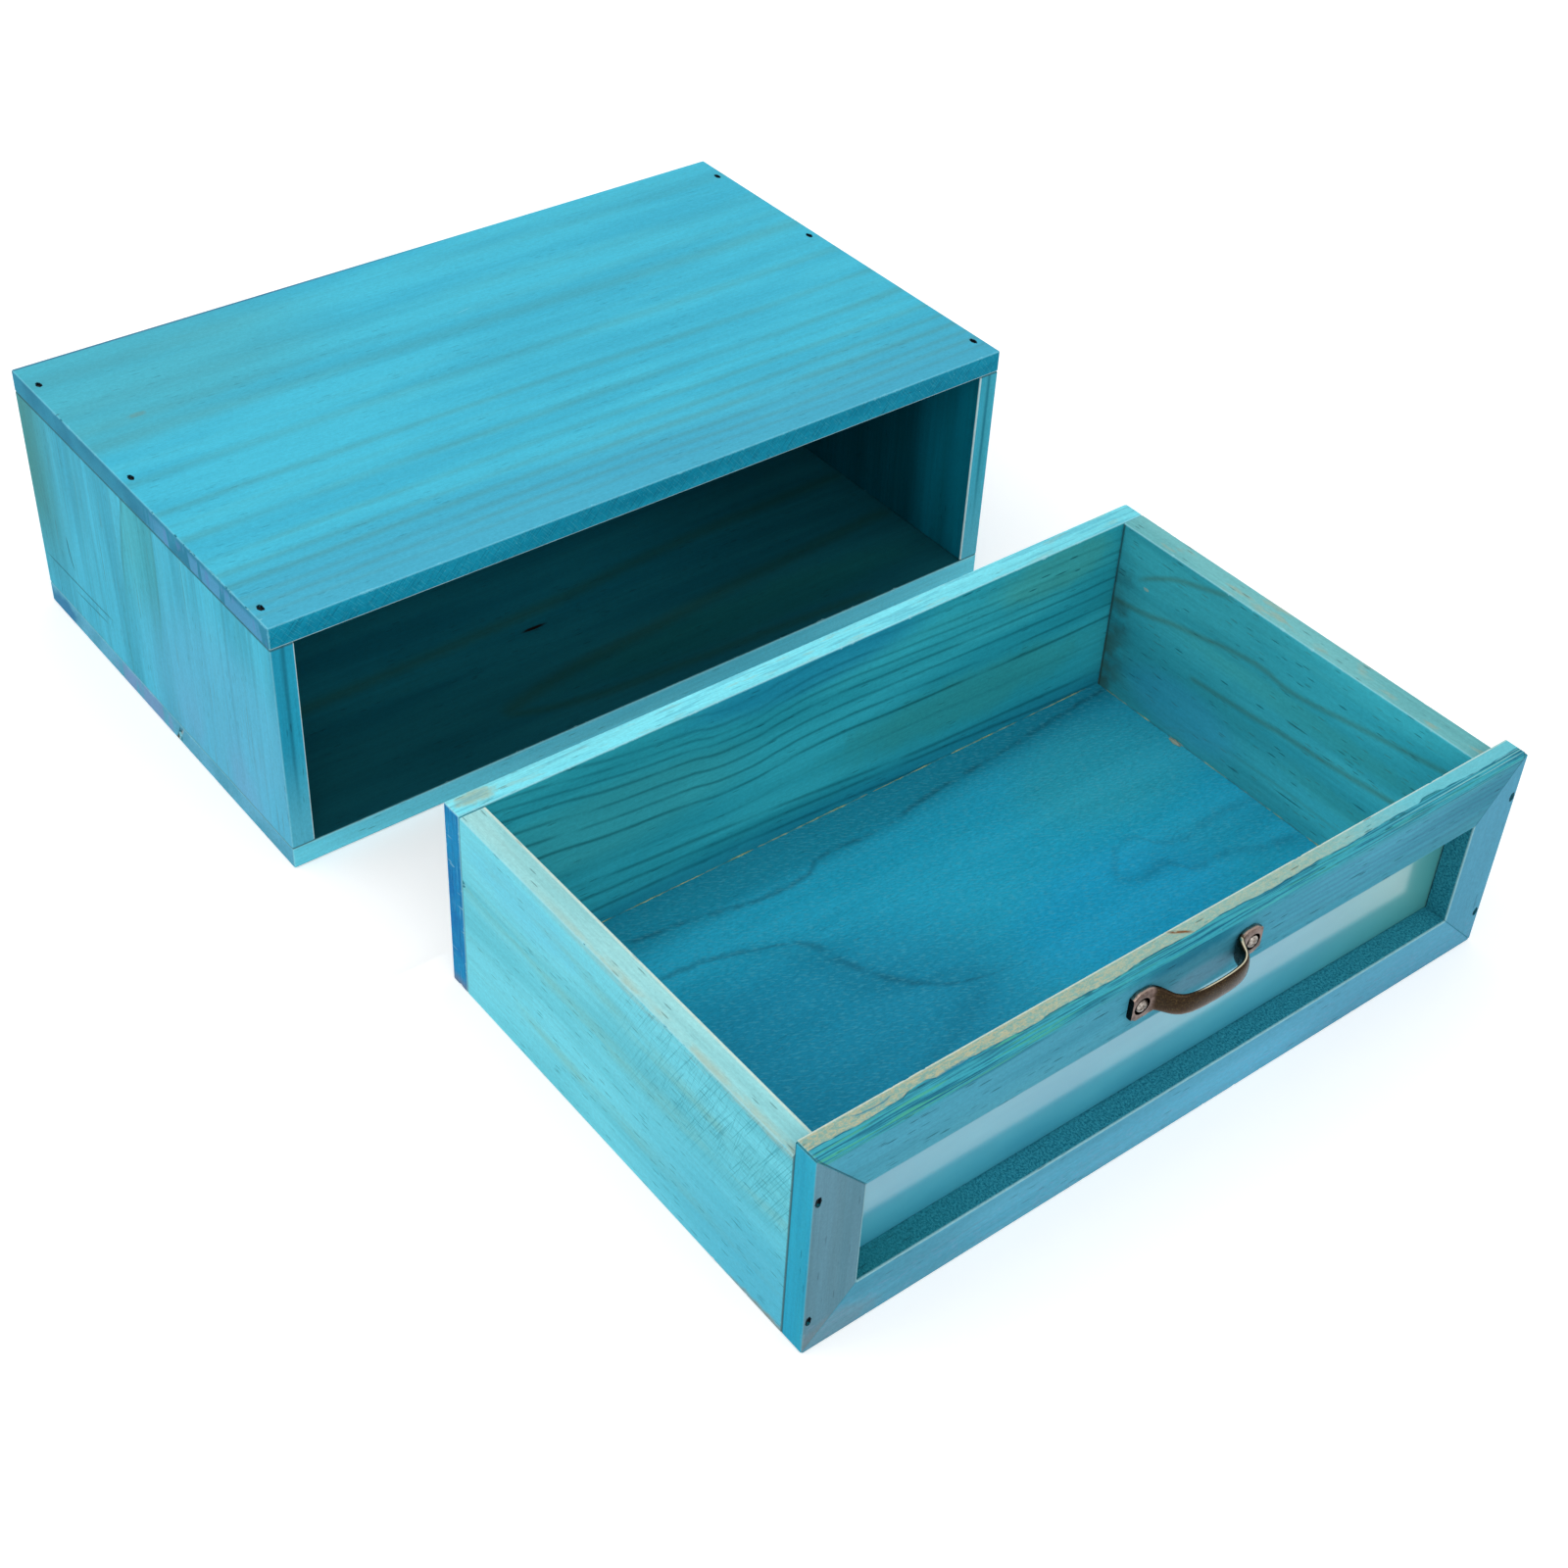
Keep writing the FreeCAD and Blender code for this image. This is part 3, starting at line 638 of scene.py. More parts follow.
def upper_arris(p, depth, left_part):
    """Lines of dark teal, green and pale blue along the upper front arris, and bare wood behind them."""
    x, y, z = p.axes
    tone = p.mix(p.ramp(p.noise((30, 0.55, 0.55), 3.0, 0.6), 0.40, 0.56), "0a5f7c", "359fb2")
    tone = p.mix(p.both(p.cloud((34, 0.9, 0.9), 0.54, 0.62), p.scaled(left_part, 0.5, 0.35)), tone, "45a88a")
    tone = p.mix(p.both(p.cloud((60, 0.5, 0.5), 0.60, 0.68, 1.0), p.ramp(x, 60, 110, 0.7)), tone, "9fd3d2")
    fade = p.ramp(p.minus(z, p.scaled(left_part, -2.4, 91.8)), 0.0, 4.5)
    p.paint(tone, p.ramp(depth, -0.15, 0.15), fade, 0.85)
    # Bare wood, beige on the left and washed with blue on the right
    up = p.either(p.face("+z"), p.ramp(p.normal[2], 0.5, 0.7))
    pale = p.mix(p.cloud((1.8, 0.7, 0.7), 0.40, 0.58, 4.0, 0.8), "b6b595", "83aa9f")
    pale = p.mix(p.ramp(x, -90, 20, 0.45), pale, "93bfb8")
    pale = p.mix(p.ramp(x, 40, 110, 0.9), pale, "64c3d3")
    p.paint(pale, up, p.ramp(depth, 0.15, -0.15), 0.95)
    outline = p.both(p.line(depth, 0.1, 0.45), p.cloud((7, 7, 7), 0.36, 0.56, 3.0))
    p.paint("0c5f78", up, outline, 0.85)
    ring = p.trace(x, y, [(-134, -374.3), (-130, -375.1), (-126, -375.3), (-121, -374.6)], 0.5, 3)
    p.paint("1b7f9c", up, p.either(ring, p.blot(x, y, (-98, -377), (9, 1.0), 1.0)), 0.8)
    # Painted highlight: a pale line along the rear arris of the top
    p.paint("dfe9da", up, p.ramp(y, -373.0, -372.5), 0.6)
    gouge = p.trace(x, y, [(-9, -373), (-6, -374.8), (-3, -376.6)], 1.2, 3)
    p.paint("7a4c22", up, gouge, p.cloud((1.5, 1.5, 1.5), 0.25, 0.5, 3.0))


def top_rail_marks(p):
    x, y, z = p.axes
    front = p.face("-y")
    across = p.plus(z, p.waver((30, 8, 8), 2.0))
    stripes(p, across, rail_lines, (0.9, 0.68, 0.82), front, p.plus(p.ramp(x, 10, 60, 0.75), 0.2))
    p.paint("2d6f80", front, p.specks((11, 1.5, 1.5), 0.22), p.cloud((22, 9, 9), 0.42, 0.52, 1.0), 0.6)
    ticks(p, x, z, rail_ticks, front, "1f5a66")
    # Painted shade and reflection of the handle: a dark teal patch above the bow, and a violet-grey patch
    # behind its top
    p.paint("0a6f8c", front, p.blot(x, z, (-8, 95), (32, 7), 0.5), 0.75)
    p.paint("7fa3bb", front, p.blot(x, z, (0, 80), (20, 6)), 0.4)
    p.lift(-0.10, front, p.ramp(x, 80, 125))
    # Depth behind the wavy line where the colours of the front end and the bare wood starts
    wave = p.scaled(p.noise((24, 30, 30), 3.0, 0.55), 3.4, -5.3)
    bumps = p.either(*[p.blot(x, y, (place, -378), (7, 99)) for place in (-112, 108)])
    down = p.scaled(p.minus(z, 96), 1.0, p.minus(-380.8, y))
    upper_arris(p, p.minus(down, p.scaled(bumps, -1.1, wave)), p.ramp(x, -30, -90))
    mitre_lines(p)


def plain_frame_marks(p):
    x, y, z = p.axes
    front, up = p.face("-y"), p.face("+z")
    p.paint("5fa9c8", front, p.ramp(x, -90, 60), 0.6)
    p.lift(0.27, front, p.ramp(x, -105, -70), p.ramp(x, 85, 35), p.ramp(z, 30, 18))
    dots = p.cloud((3.5, 2, 0.9), 0.52, 0.66, 2.0, 0.6)
    p.paint("8a9ec2", front, p.ramp(z, 26, 20), dots, 0.22)
    p.paint("86827f", front, p.blot(x, z, (-140, 14), (20, 9), 0.6), 0.3)
    p.lift(-0.08, front, p.ramp(z, 16, 9))
    for side in (-1, 1):
        for height in (24.1, 77.5):
            brad_hole(p, p.ramp(y, -379.6, -380.4), x, z, (side * 150.7, height))
    # Rough-sawn stain on the faces around the window
    inner = p.either(up, p.both(p.face("-x"), p.ramp(x, 0, 10)), p.both(p.face("+x"), p.ramp(x, 0, -10)))
    grit = p.noise((0.7, 1.0, 0.7), 3.0, 0.85)
    rough_cut = p.mix(p.ramp(grit, 0.36, 0.64), "0c5f75", "3596a8")
    rough_cut = p.mix(p.ramp(x, -60, -130, 0.5), rough_cut, "10696f")
    dark = p.both(p.ramp(y, -373.6, -372.2), up, p.ramp(x, -100, -60, 0.7), 0.4)
    p.paint(p.mix(dark, rough_cut, "05404f"), inner, 0.97)
    p.raise_by(inner, grit, 0.35)
    sill, jamb = spans("front_bottom_rail")[1][2], spans("front_right_stile")[0][0]
    off = p.math("ABSOLUTE", x)
    lip = p.either(p.both(p.line(z, sill, 0.7), p.ramp(off, jamb + 0.2, jamb - 0.2)),
                   p.both(p.line(off, jamb, 0.7), p.ramp(z, sill - 0.5, sill + 0.5)))
    p.paint("9fd0d8", lip, p.ramp(y, -380.6, -381.2), 0.8)
    mitre_lines(p)


def make_wood():
    # Painted shade: inside is a far darker copy of the stain, for the case's inner faces
    inside, blue_end, side_edge = ("11555f", "0c4c57"), ("168cc2", "0c78b8"), ("2faecc", "259ec2")
    outer_face, inner_face = ("78dbeb", "68cbdb"), ("45bac6", "36a6b4")
    top = ("4abfda", "42b4d1")
    wood("case_top", "x", {"+z": top, "-x": ("2f8fae", "25809f"), "-y": ("1a9cbb", "0c89a8")}, top,
         olive=0.1, thread=0.08, dashes=0.25, wear_and_highlight=0.4, wear_and_highlight_tone="8fdcee", extras=case_top_marks)
    wood("case_bottom", "x", {"-x": ("64b4d1", "55a7c2"), "-y": ("74def2", "62cce1"), "+z": inside},
         olive=0.1, dashes=0.6, wear_and_highlight=0.4, extras=case_bottom_marks)
    wood("case_left_side", "z", {"-x": ("4fbfdb", "42abc6"), "-y": ("2fabc9", "2298b8"), "+x": inside},
         thread=0.24, wear_and_highlight=0.3, seams=("+z", "-z"), extras=case_side_marks)
    # The right wall's inner face ("-x") is darkened with painted shade too
    wood("case_right_side", "z", {"+x": ("4fbfdb", "42abc6"), "-y": ("45b0c8", "389fb8"),
                                  "-x": ("0a7c91", "087082")},
         thread=0.2, wear_and_highlight=0.3, seams=("+z", "-z"), ior=1.01, extras=case_side_marks)
    wood("case_back_panel", "x", {"-y": inside}, wear_and_highlight=0.3)
    wood("drawer_back", "x", {"-y": ("3ab6c2", "2ba2b0"), "+z": ("84eaf8", "76d9e8"), "-x": blue_end,
                              "+x": blue_end},
         ("55bcd0", "47aabf"), fibre=0.14, wear_and_highlight=0.7, extras=drawer_back_marks)
    wood("drawer_left_side", "y", {"-x": outer_face, "+z": ("9cdadd", "8ccfd4"), "+x": inner_face},
         dashes=0.6, wear_and_highlight=0.6, seams=("-y", "+y"), extras=drawer_left_marks)
    wood("drawer_right_side", "y", {"+x": outer_face, "+z": ("78c2c6", "6ab5ba"), "-x": inner_face},
         dashes=0.8, wear_and_highlight=0.6, extras=drawer_right_marks)
    wood("drawer_floor", "x", {}, ("29a9c9", "20a0bf"), olive=0.1, thread=0.03, dashes=0.1, wear_and_highlight=0.0,
         extras=floor_marks)
    wood("front_top_rail", "x", {"-y": ("4da0b8", "4193ab"), "+z": ("5fb7c4", "52a9b6"),
                                 "-z": ("2f8698", "25788a")},
         front_stain, dashes=0.8, wear_and_highlight=0.12, extras=top_rail_marks)
    wood("front_bottom_rail", "x", {"-y": ("58a2bc", "4c95ae")}, front_stain, wear_and_highlight=0.0,
         extras=plain_frame_marks)
    for name, outer, tone in (("front_left_stile", "-x", ("6390a2", "568393")),
                              ("front_right_stile", "+x", ("4a92aa", "3f869e"))):
        wood(name, "z", {"-y": tone, outer: side_edge}, front_stain, dashes=0.4, wear_and_highlight=0.12,
             seams=("+y",), extras=plain_frame_marks)
    for name, grain in (("pane_left_strip", "z"), ("pane_right_strip", "z"), ("pane_foot_strip", "x")):
        wood(name, grain, {}, ("3fa3b8", "2f92a8"), wear_and_highlight=0.3)


def make_pane():
    p = Paint("frosted_pane")
    p.colour = p.mix(p.cloud((60, 10, 22), 0.3, 0.7, 3.0), "56c2d8", "45b0cc")
    p.paint("5fb8ac", p.ramp(p.axes[0], 40, 140, 0.75))
    grain = p.noise((1.2, 1.2, 1.2), 2.0, 0.7)
    p.raise_by(grain, 0.01)
    p.fill(p.shader, {"Transmission Weight": 0.25, "Coat Weight": 1.0, "Coat Roughness": 0.14,
                      "Coat IOR": 2.0})
    dress("window_pane", p.finish(p.scaled(grain, 0.1, 0.45), bump=0.3))


def make_bronze():
    """Antique bronze with painted light: near-black on the bow's upper side, coppery and pale pink below as
    a painted reflection of the table, a thin painted golden highlight on the upper arris, painted highlight
    and shade on the feet, and painted shade in the counterbores.
    """
    p = Paint("antique_bronze")
    x, y, z = p.axes
    slope = p.normal[2]
    low, high = spans("pull_handle")
    middle = (low[0] + high[0]) / 2
    off = p.math("ABSOLUTE", p.minus(x, middle))
    cloud = p.noise((3, 3, 3), 4.0, 0.6)
    fine = p.noise((0.45, 0.45, 0.45), 3.0, 0.7)
    # Painted reflection of the white table: near-black on the upper side, going to copper and to pale pink
    # on sides that face down
    p.colour = p.mix(p.ramp(slope, 0.10, -0.70), "30261d", "6f5547")
    p.paint("c4a597", p.ramp(slope, -0.60, -0.92))
    p.paint("6a5836", p.ramp(fine, 0.50, 0.68, 0.5))
    # Painted highlight: a thin golden line on the upper arris, from just left of the middle to the right
    p.paint("d0cab0", p.ramp(slope, 0.91, 0.99), p.ramp(x, middle - 10, middle - 4))
    foot = p.ramp(off, foot_start, foot_start + 2)
    # Feet: mottled, with a painted highlight on sides that face up, and painted shade, near black, on sides
    # that face left
    flat = p.mix(p.ramp(cloud, 0.35, 0.65), "4f3e37", "85726b")
    flat = p.mix(p.ramp(slope, 0.3, 0.8), flat, "9c8a80")
    p.paint(p.mix(p.ramp(p.both(p.normal[0], -1.0), 0.4, 0.9), flat, "120d0b"), foot)
    # Painted shade: the counterbores are dark below the feet's front faces
    screw = (high[0] - middle - screw_inset, (low[2] + high[2]) / 2)
    hole = p.blot(off, z, screw, (counterbore_radius + 0.7, counterbore_radius + 0.7))
    counterbore_shade = p.both(foot, hole, p.ramp(y, high[1] - 2.05, high[1] - 1.75))
    p.paint("0e0a08", p.ramp(counterbore_shade, 0.05, 0.2))
    p.raise_by(fine, 0.04)
    dress("pull_handle", p.finish(p.scaled(cloud, 0.15, 0.20), bump=0.6, metallic=1.0))


def speckled(name, sizes, low, high, light, dark, rough=0.5):
    """A plain material with two tones in a noise; gives the noise as well."""
    p = Paint(name)
    field = p.noise(sizes, 3.0, rough)
    p.colour = p.mix(p.ramp(field, low, high), light, dark)
    return p, field


def make_steel(name, light, dark, roughness, metallic, targets):
    p, cloud = speckled(name, (1.2, 1.2, 1.2), 0.35, 0.65, light, dark, 0.6)
    p.raise_by(cloud, 0.05)
    material = p.finish(p.scaled(cloud, 0.2, roughness), bump=0.6, metallic=metallic)
    for target in targets:
        dress(target, material)


# Pieces of the scene's own

def placed(name, data):
    """A new object in the scene."""
    item = bpy.data.objects.new(name, data)
    bpy.context.scene.collection.objects.link(item)
    return item


def add_piece(name, mesh, body, instead=None):
    """Add a mesh as a piece that rides on a body, takes its finish from a slot and may replace a node."""
    piece = placed(name, mesh)
    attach(piece, body)
    if instead:
        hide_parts(instead)


def around(sides, start=0.0):
    """Angles of a ring's points."""
    return [2 * math.pi * (step + start) / sides for step in range(sides)]


def heading(points, i):
    """Direction of a line of points at one of them."""
    return (points[min(i + 1, len(points) - 1)] - points[max(i - 1, 0)]).normalized()


def tube(rings):
    """Corners and faces of the closed skin over rings of points."""
    sides = len(rings[0])
    verts = [point for ring in rings for point in ring]
    faces = [range(sides), range(len(verts) - sides, len(verts))]
    for low in range(0, len(verts) - sides, sides):
        for step in range(sides):
            after = (step + 1) % sides
            faces.append((low + step, low + after, low + sides + after, low + sides + step))
    return verts, faces


def rod(start, end, radius, sides=40):
    turn = (end - start).to_track_quat("Z", "Y")
    ring = [turn @ Vector((math.cos(angle), math.sin(angle), 0)) * radius for angle in around(sides, 0.5)]
    return tube([[place + offset for offset in ring] for place in (start, end)])


def fix_normals(mesh):
    work = bmesh.new()
    work.from_mesh(mesh)
    bmesh.ops.remove_doubles(work, verts=work.verts, dist=1e-6)
    bmesh.ops.recalc_face_normals(work, faces=work.faces)
    work.to_mesh(mesh)
    work.free()
    return mesh


def joined(name, parts, material):
    """One mesh of parts, each given by its corners and faces."""
    verts = []
    faces = []
    for part_verts, part_faces in parts:
        first = len(verts)
        verts += part_verts
        faces += [tuple(first + index for index in face) for face in part_faces]
    mesh = bpy.data.meshes.new(name)
    mesh.from_pydata(verts, [], faces)
    mesh.materials.append(material)
    return fix_normals(mesh)


def drawn(work, name, material):
    """The mesh of a finished piece of work."""
    mesh = bpy.data.meshes.new(name)
    work.to_mesh(mesh)
    work.free()
    mesh.materials.append(material)
    return mesh


def carve(mesh, cutter):
    """The mesh less the cutter's, whose faces keep their own material."""
    blank, tool = placed("blank", mesh), placed("tool", cutter)
    cut = blank.modifiers.new("cut", "BOOLEAN")
    cut.operation = "DIFFERENCE"
    cut.solver = "MANIFOLD"
    cut.material_mode = "TRANSFER"
    cut.object = tool
    shaped = bpy.data.meshes.new_from_object(blank.evaluated_get(bpy.context.evaluated_depsgraph_get()))
    for item in (blank, tool):
        bpy.data.objects.remove(item)
    return shaped


def soften(mesh, angle):
    mesh.shade_smooth()
    mesh.set_sharp_from_angle(angle=math.radians(angle))
    return mesh


def rounded(points, rounds):
    """A line of points with its corners cut again and again until it is smooth."""
    for _ in range(rounds):
        cut = [first.lerp(second, share) for first, second in zip(points, points[1:])
               for share in (0.25, 0.75)]
        points = [points[0], *cut, points[-1]]
    return points


def between(value, table):
    """Value of a table of (place, value) rows, drawn smoothly between its rows."""
    for (x0, y0), (x1, y1) in zip(table, table[1:]):
        if value <= x1:
            share = max(0.0, (value - x0) / (x1 - x0))
            return y0 + (y1 - y0) * share * share * (3 - 2 * share)
    return table[-1][1]


# Handle, in millimetres from its middle on the drawer's front: half its centre line from above,
# then half height, half thickness and squareness by distance from the middle
handle_line = [(0, 10.4), (7, 10.25), (12.4, 9.3), (15.4, 7.2), (16.8, 4.2), (18.2, 1.6), (20.4, 1.1),
               (28.0, 1.1)]
handle_heights = [(0, 3.9), (12, 4.0), (15.5, 4.2), (18.0, 4.6), (19.8, 5.3), (21.2, 5.75), (25.6, 5.7),
                  (27.4, 4.5), (28.0, 4.2)]
handle_halves = [(0, 1.4), (15, 1.35), (18.5, 1.3), (20.5, 1.1), (28.0, 1.1)]
handle_squares = [(0, 2.2), (15, 2.3), (20, 4.5), (28.0, 7.0)]
ring_points = 28
counterbore_radius = 3.2
counterbore_deep = 1.7
screw_inset = 4.0
screw_radius = 2.3
screw_seat = 1.9
screw_proud = 1.0
slot_radius = 0.42
slot_half = 1.3
slot_turns = (20, 110)                  # of the cross's two arms, in degrees
foot_start = 18.5                       # where the bow runs out into the feet


def handle_frame():
    """Middle of the handle's back face, and the places of its two screws along X, in metres."""
    low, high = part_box("pull_handle")
    middle = Vector(((low.x + high.x) / 2, high.y, (low.z + high.z) / 2))
    return middle, (low.x + screw_inset * millimetre, high.x - screw_inset * millimetre)


def handle_rings():
    """Rings of a cast pull: flat feet that narrow and round off into a bowed bar."""
    middle = handle_frame()[0]
    half = rounded([Vector((x, y, 0)) for x, y in handle_line], 3)
    line = [Vector((-point.x, point.y, 0)) for point in half[:0:-1]] + half
    rings = []
    for i, point in enumerate(line):
        way = heading(line, i)
        out = Vector((-way.y, way.x, 0)) * between(abs(point.x), handle_halves)
        up = Vector((0, 0, between(abs(point.x), handle_heights)))
        power = 2 / between(abs(point.x), handle_squares)
        ring = []
        for angle in around(ring_points):
            across = math.copysign(abs(math.cos(angle)) ** power, math.cos(angle))
            upward = math.copysign(abs(math.sin(angle)) ** power, math.sin(angle))
            spot = point + out * across + up * upward
            ring.append(middle + Vector((spot.x, -spot.y, spot.z)) * millimetre)
        rings.append(ring)
    return rings


def make_handle():
    middle, screws = handle_frame()
    bronze = nodes["pull_handle"].data.materials[0]
    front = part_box("pull_handle")[0].y - millimetre
    deep = middle.y - (2 * handle_halves[-1][1] - counterbore_deep) * millimetre
    sinks = [rod(Vector((x, front, middle.z)), Vector((x, deep, middle.z)), counterbore_radius * millimetre)
             for x in screws]
    pull = carve(joined("bronze_pull", [tube(handle_rings())], bronze), joined("sinks", sinks, bronze))
    add_piece("bronze_pull", soften(pull, 40), "drawer", "pull_handle")


def make_screws():
    """Small domed cross-head screws in the handle's feet."""
    middle, screws = handle_frame()
    steel = nodes["handle_screws"].data.materials[0]
    work = bmesh.new()
    cross = []
    for x in screws:
        seat = Vector((x, middle.y - screw_seat * millimetre, middle.z))
        for vert in bmesh.ops.create_uvsphere(work, u_segments=32, v_segments=16, radius=1.0)["verts"]:
            reach = (vert.co.x * screw_radius, min(0.0, vert.co.y) * screw_proud, vert.co.z * screw_radius)
            vert.co = seat + Vector(reach) * millimetre
        spot = seat - Vector((0, screw_proud * millimetre, 0))
        for turn in map(math.radians, slot_turns):
            way = Vector((math.cos(turn), 0, math.sin(turn))) * slot_half * millimetre
            cross.append(rod(spot - way, spot + way, slot_radius * millimetre, 4))
    heads = carve(fix_normals(drawn(work, "pull_screws", steel)), joined("cross", cross, steel))
    add_piece("pull_screws", soften(heads, 40), "drawer", "handle_screws")


def rough_bead(points, radius, dice, sides=7):
    """A lumpy string of glue or wood along a line: rings of uneven size, tapered at both ends."""
    rings = []
    for i, point in enumerate(points):
        way = heading(points, i)
        side = way.cross(Vector((0, 0, 1)))
        side = side.normalized() if side.length > 1e-6 else Vector((1, 0, 0))
        up = side.cross(way)
        taper = radius * min(1.0, 0.25 + min(i, len(points) - 1 - i) * 0.4)
        ways = [side * math.cos(angle) + up * math.sin(angle) for angle in around(sides)]
        rings.append([point + way * (taper * dice.uniform(0.65, 1.15)) for way in ways])
    return tube(rings)


def glue_material():
    p, _ = speckled("old_glue", (6, 6, 6), 0.42, 0.58, "b2ba8a", "7a9c7a")
    p.paint("2f8794", p.cloud((11, 11, 11), 0.40, 0.60))
    wood_chip = p.blot(p.axes[0], p.axes[1], (141.2, -243.5), (2.2, 5.5))
    p.paint("bfae90", wood_chip, 0.6)
    fine = p.noise((0.6, 0.6, 0.6))
    p.raise_by(fine, 0.1)
    return p.finish(p.scaled(fine, 0.2, 0.5), ior=1.3)


def glue_runs(start, end, dice):
    """Broken runs of glue between two corners of the floor."""
    length = (end - start).length / millimetre
    way = (end - start).normalized()
    runs = []
    place = dice.uniform(1, 4)
    while place < length - 4:
        long = min(dice.uniform(14, 60), length - 2 - place)
        count = max(4, int(long / 1.2))
        points = []
        for i in range(count + 1):
            wander = Vector((0, 0, dice.uniform(-0.12, 0.12)))
            points.append(start + (way * (place + long * i / count) + wander) * millimetre)
        runs.append(rough_bead(points, dice.uniform(0.2, 0.36) * millimetre, dice))
        place += long + dice.uniform(0.2, 3)
    return runs


def make_glue():
    """Squeezed-out glue along the plywood floor's joints, and a chip of wood caught in it."""
    dice = random.Random(5)
    low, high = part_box("drawer_floor")
    inset = 0.05 * millimetre
    level = high.z + 0.1 * millimetre
    front = low.y + 8 * millimetre
    apart = 3 * millimetre
    left, right = Vector((low.x, high.y - inset, level)), Vector((high.x, high.y - inset, level))
    runs = glue_runs(left, right, dice)
    runs += glue_runs(right - Vector((inset, apart, 0)), Vector((high.x - inset, front, level)), dice)
    runs += glue_runs(left + Vector((inset, -apart, 0)), Vector((low.x + inset, front, level)), dice)
    chip = [Vector((high.x - 1.2 * millimetre, y * millimetre, level + 0.2 * millimetre))
            for y in (-240.5, -241.8, -243.4, -245.2, -246.6)]
    runs.append(rough_bead(chip, 1.1 * millimetre, dice, 6))
    add_piece("floor_glue", soften(joined("floor_glue", runs, glue_material()), 60), "drawer")


def make_splinters():
    """A few splinters that the saw left on the lower arris of the front's bottom rail."""
    dice = random.Random(11)
    low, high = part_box("front_bottom_rail")
    parts = []
    for x, long, lean in ((63, 3.2, 0.5), (115.6, 1.8, -0.4), (134.6, 1.5, 0.3), (-16, 1.6, -0.3),
                          (-78, 1.3, 0.4)):
        start = Vector((x * millimetre, low.y + 0.4 * millimetre, low.z + 0.9 * millimetre))
        points = []
        for share in (0, 0.25, 0.5, 0.75, 1):
            away = Vector((lean * long * share, -0.35 * share * share, (long * 0.55 - 0.4) * share))
            points.append(start + away * millimetre)
        parts.append(rough_bead(points, 0.42 * millimetre, dice, 5))
    mesh = joined("rail_splinters", parts, nodes["front_bottom_rail"].data.materials[0])
    add_piece("rail_splinters", soften(mesh, 50), "drawer")


def bare_wood():
    p, strand = speckled("bare_wood", (3, 3, 1.2), 0.4, 0.6, "86cfdc", "2c7d92")
    p.raise_by(strand, 0.2)
    return p.finish(p.scaled(strand, 0.2, 0.6), ior=1.2)


# Wear of the boards whose broken arrises show: chips strewn along lines (start, end, count, and least and
# largest depth), and single breaks (place and half lengths). A place is a number, "-" or "+" for the
# board's low or high end along that axis, or an end with an offset from it.
board_wear = {
    "case_top": ([(("-", -75, "+"), ("-", -18, "+"), 11), ("-++", "--+", 8), ("--+", "+-+", 7, 0.2, 0.4)],
                 [(("-", 61, "+"), (1.6, 0.5, 0.6)), ((("-", 0.3), ("-", 6), "+"), (1.8, 0.4, 0.5))]),
    "case_bottom": ([("-+-", "---", 9), ("---", "+--", 6)],
                    [("-+-", (1.8, 1.8, 1.6)), (("-", -13, 3.5), (0.7, 1.6, 4.2))]),
    "drawer_left_side": ([("--+", "-++", 8), ("---", ("-", -320, "-"), 6, 0.4, 0.9)],
                         [(("-", ("+", -1), 61), (0.5, 1.2, 1.6))]),
    "drawer_right_side": ([("+-+", "+++", 14, 0.25, 0.7)], []),
    "drawer_back": ([("-++", "+++", 10)],
                    [(("-", ("-", 4), "-"), (1.0, 2.0, 1.2)), ("+++", (1.4, 1.0, 1.2))]),
    "front_bottom_rail": ([((("-", 3), "-", "-"), (("+", -3), "-", "-"), 16)], []),
    "front_top_rail": ([((("-", 3), "+", "+"), (("+", -3), "+", "+"), 10)],
                       [((60, "+", "+"), (1.5, 0.4, 0.4))]),
}


def spot_on(node, places):
    """A point on a board, in millimetres, from a row of places."""
    point = []
    for place, low, high in zip(places, *spans(node)):
        end, offset = place if isinstance(place, tuple) else (place, 0.0)
        point.append({"-": low, "+": high}.get(end, end) + offset)
    return point


def edge_chips(dice, start, end, count, small=0.25, large=0.6):
    """Chips strewn along an arris, mostly tiny."""
    spots = []
    for _ in range(count):
        share = dice.random()
        depth = dice.uniform(small, large)
        place = [a + (b - a) * share for a, b in zip(start, end)]
        size = [depth * (dice.uniform(1.5, 4.0) if abs(b - a) > 1 else 1.0) for a, b in zip(start, end)]
        spots.append((place, size))
    return spots


def chips(spots, dice, material):
    """Cutters for small breaks: lumpy pebbles at (place in millimetres, half lengths)."""
    work = bmesh.new()
    for place, size in spots:
        for vert in bmesh.ops.create_icosphere(work, subdivisions=1, radius=1.0)["verts"]:
            jitter = dice.uniform(0.75, 1.2)
            vert.co = Vector([place[i] + vert.co[i] * size[i] * jitter for i in range(3)]) * millimetre
    return drawn(work, "chips", material)


def wear_boards():
    """The worn boards: the same boards with chips taken out of their edges."""
    dice = random.Random(3)
    bare = bare_wood()
    plans = {}
    for node, (edges, breaks) in board_wear.items():
        strewn = []
        for start, end, *rest in edges:
            strewn += edge_chips(dice, spot_on(node, start), spot_on(node, end), *rest)
        plans[node] = strewn + [(spot_on(node, places), size) for places, size in breaks]
    bodies = {name: body for body, names in frame["record"]["behaviour"]["bodies"].items() for name in names}
    for node, spots in plans.items():
        mesh = carve(fix_normals(nodes[node].data.copy()), chips(spots, dice, bare))
        mesh.shade_flat()
        add_piece(node + "_worn", mesh, bodies[node], node)


# Room

def make_world():
    """Even white light; rays that look at the background see plain white."""
    world = bpy.data.worlds.new("studio")
    bpy.context.scene.world = world
    world.use_nodes = True
    sky = Tree(world.node_tree)
    looking = sky.seen("Camera", "Glossy", "Transmission")
    levels = {"Value": looking, "To Min": world_light, "To Max": 1.0}
    strength = sky.fill(sky.add("ShaderNodeMapRange"), levels)
    sky.fill(sky.nodes["Background"], {"Color": white, "Strength": strength})


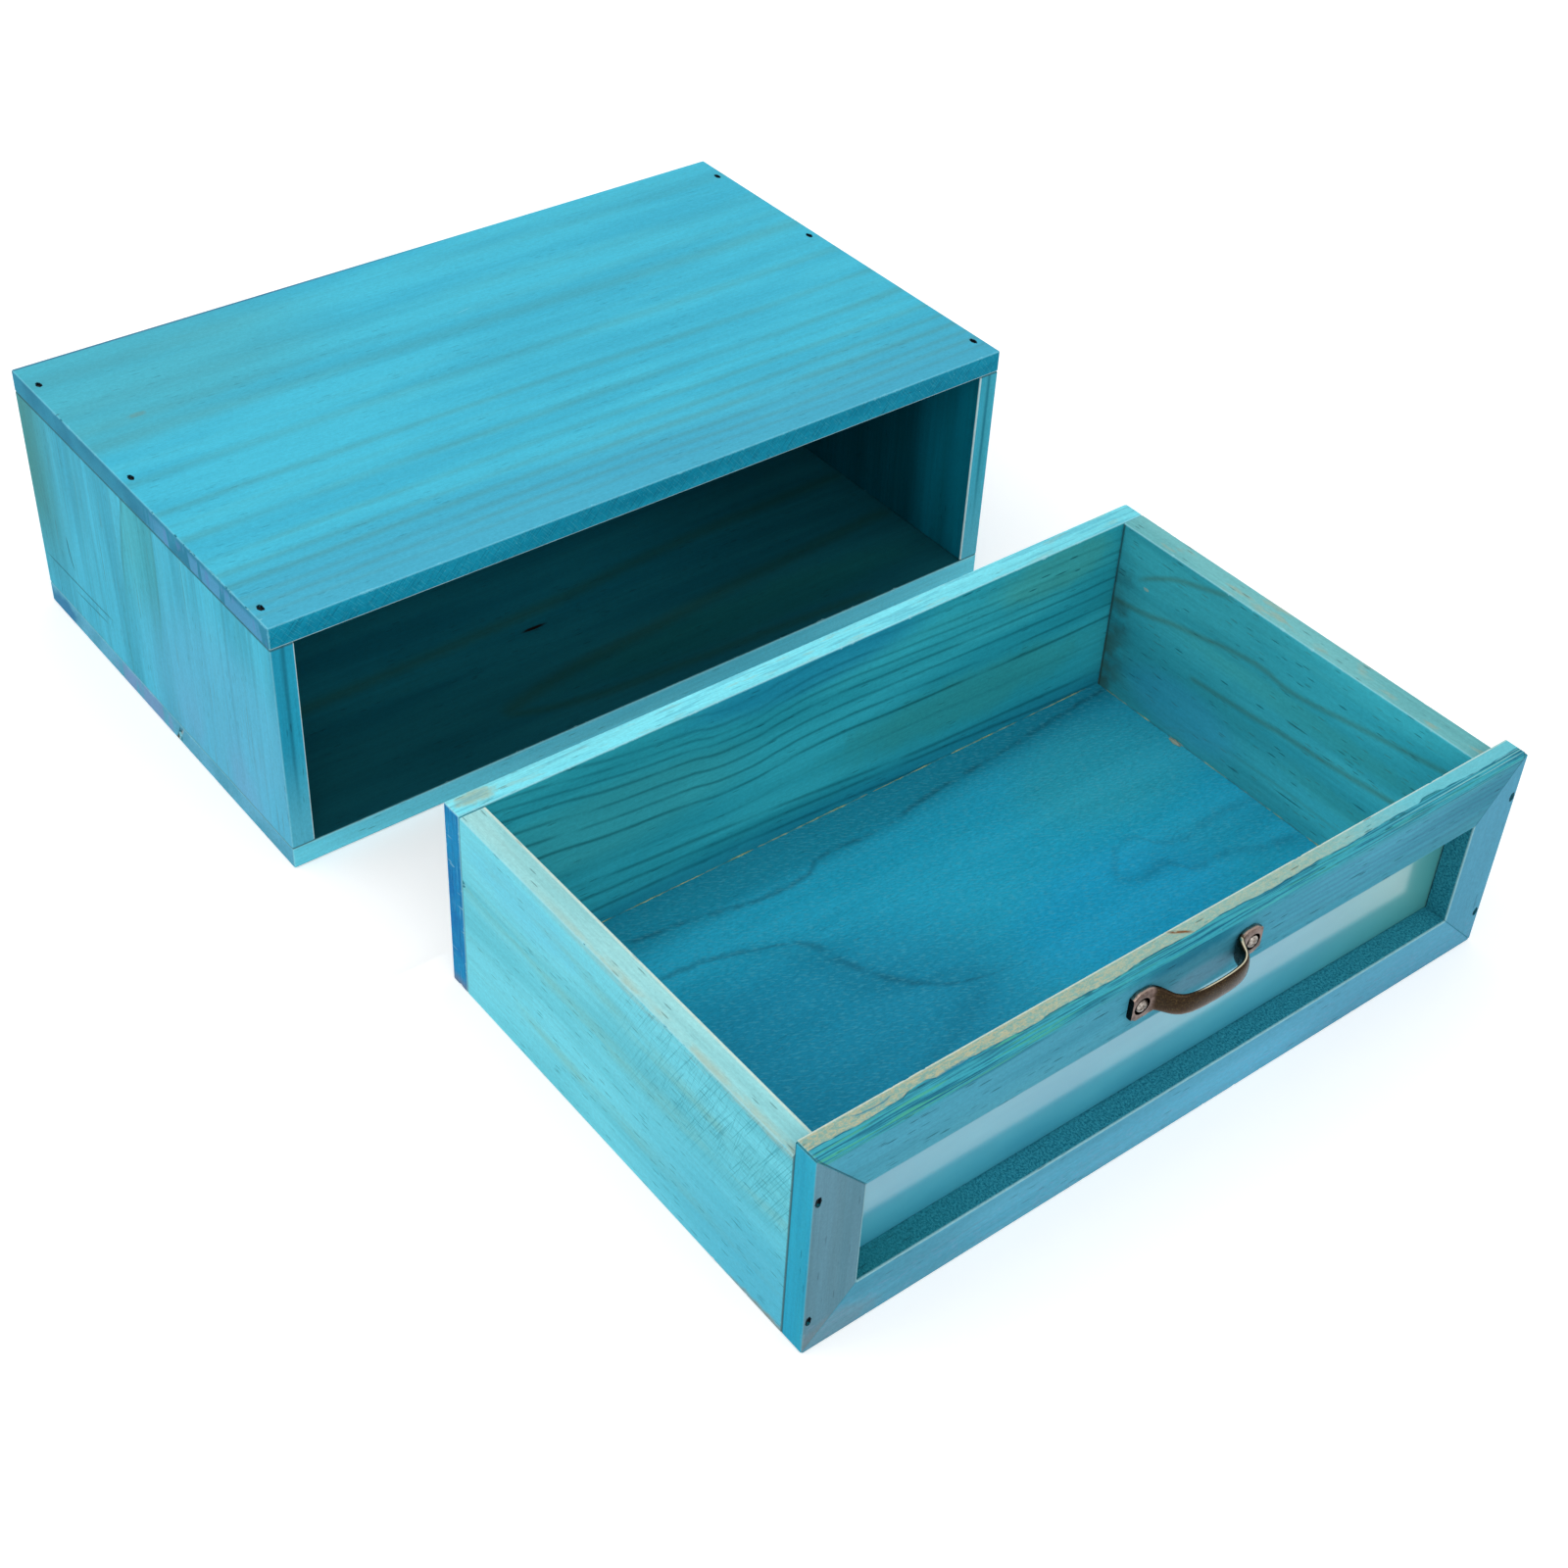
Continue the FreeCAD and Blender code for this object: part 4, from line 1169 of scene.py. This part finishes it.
def make_lamp(name, place, target, power, size):
    data = bpy.data.lights.new(name, "AREA")
    data.energy = power
    data.size = size
    lamp = placed(name, data)
    lamp.location = place
    lamp.rotation_euler = (Vector(place) - Vector(target)).to_track_quat("Z", "Y").to_euler()


def floor_material():
    """White table top: it keeps the soft shadow, and is lifted to plain white where nothing shades it."""
    p = Paint("white_table")
    p.colour = table_white
    glow = p.both(p.seen("Camera", "Glossy"), table_glow)
    p.fill(p.shader, {"Specular IOR Level": 0.0, "Emission Color": white, "Emission Strength": glow})
    return p.finish(0.9)


def slab(name, low, high, material):
    """A plain block of the stage."""
    corners = ((low[0], low[1]), (high[0], low[1]), (high[0], high[1]), (low[0], high[1]))
    rings = [[Vector((x, y, z)) for x, y in corners] for z in (low[2], high[2])]
    placed(name, joined(name, [tube(rings)], material))


def make_stage():
    """The white table, with a low white shelf in front that carries the drawer at its running height."""
    material = floor_material()
    low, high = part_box("drawer_back")
    corner = (-table_half, -table_half)
    slab("table", (*corner, -table_thick), (table_half, table_half, -shelf_gap), material)
    slab("shelf", (*corner, -shelf_gap / 2), (table_half, high.y + shelf_rear, low.z - shelf_gap), material)


def make_camera():
    data = bpy.data.cameras.new("photo_camera")
    data.sensor_width = camera_sensor
    data.lens = camera_lens
    camera = placed("photo_camera", data)
    turn = Matrix.Rotation(math.radians(-camera_azimuth), 4, "Z")
    tilt = Matrix.Rotation(math.radians(90 + camera_elevation), 4, "X")
    roll = Matrix.Rotation(math.radians(camera_roll), 4, "Z")
    camera.matrix_world = Matrix.Translation(camera_place) @ turn @ tilt @ roll
    bpy.context.scene.camera = camera


make_camera()
make_world()
for lamp_name, lamp in lamps.items():
    make_lamp(lamp_name, **lamp)
make_stage()
make_wood()
make_pane()
make_bronze()
make_steel("brad_steel", "0b1013", "030506", 0.8, 0.0, [name for name in nodes if name.endswith("_brads")])
make_steel("screw_steel", "b5aea6", "6b625c", 0.2, 0.9, ["handle_screws"])
make_handle()
make_screws()
make_glue()
make_splinters()
wear_boards()
bpy.context.scene.view_settings.view_transform = "Standard"
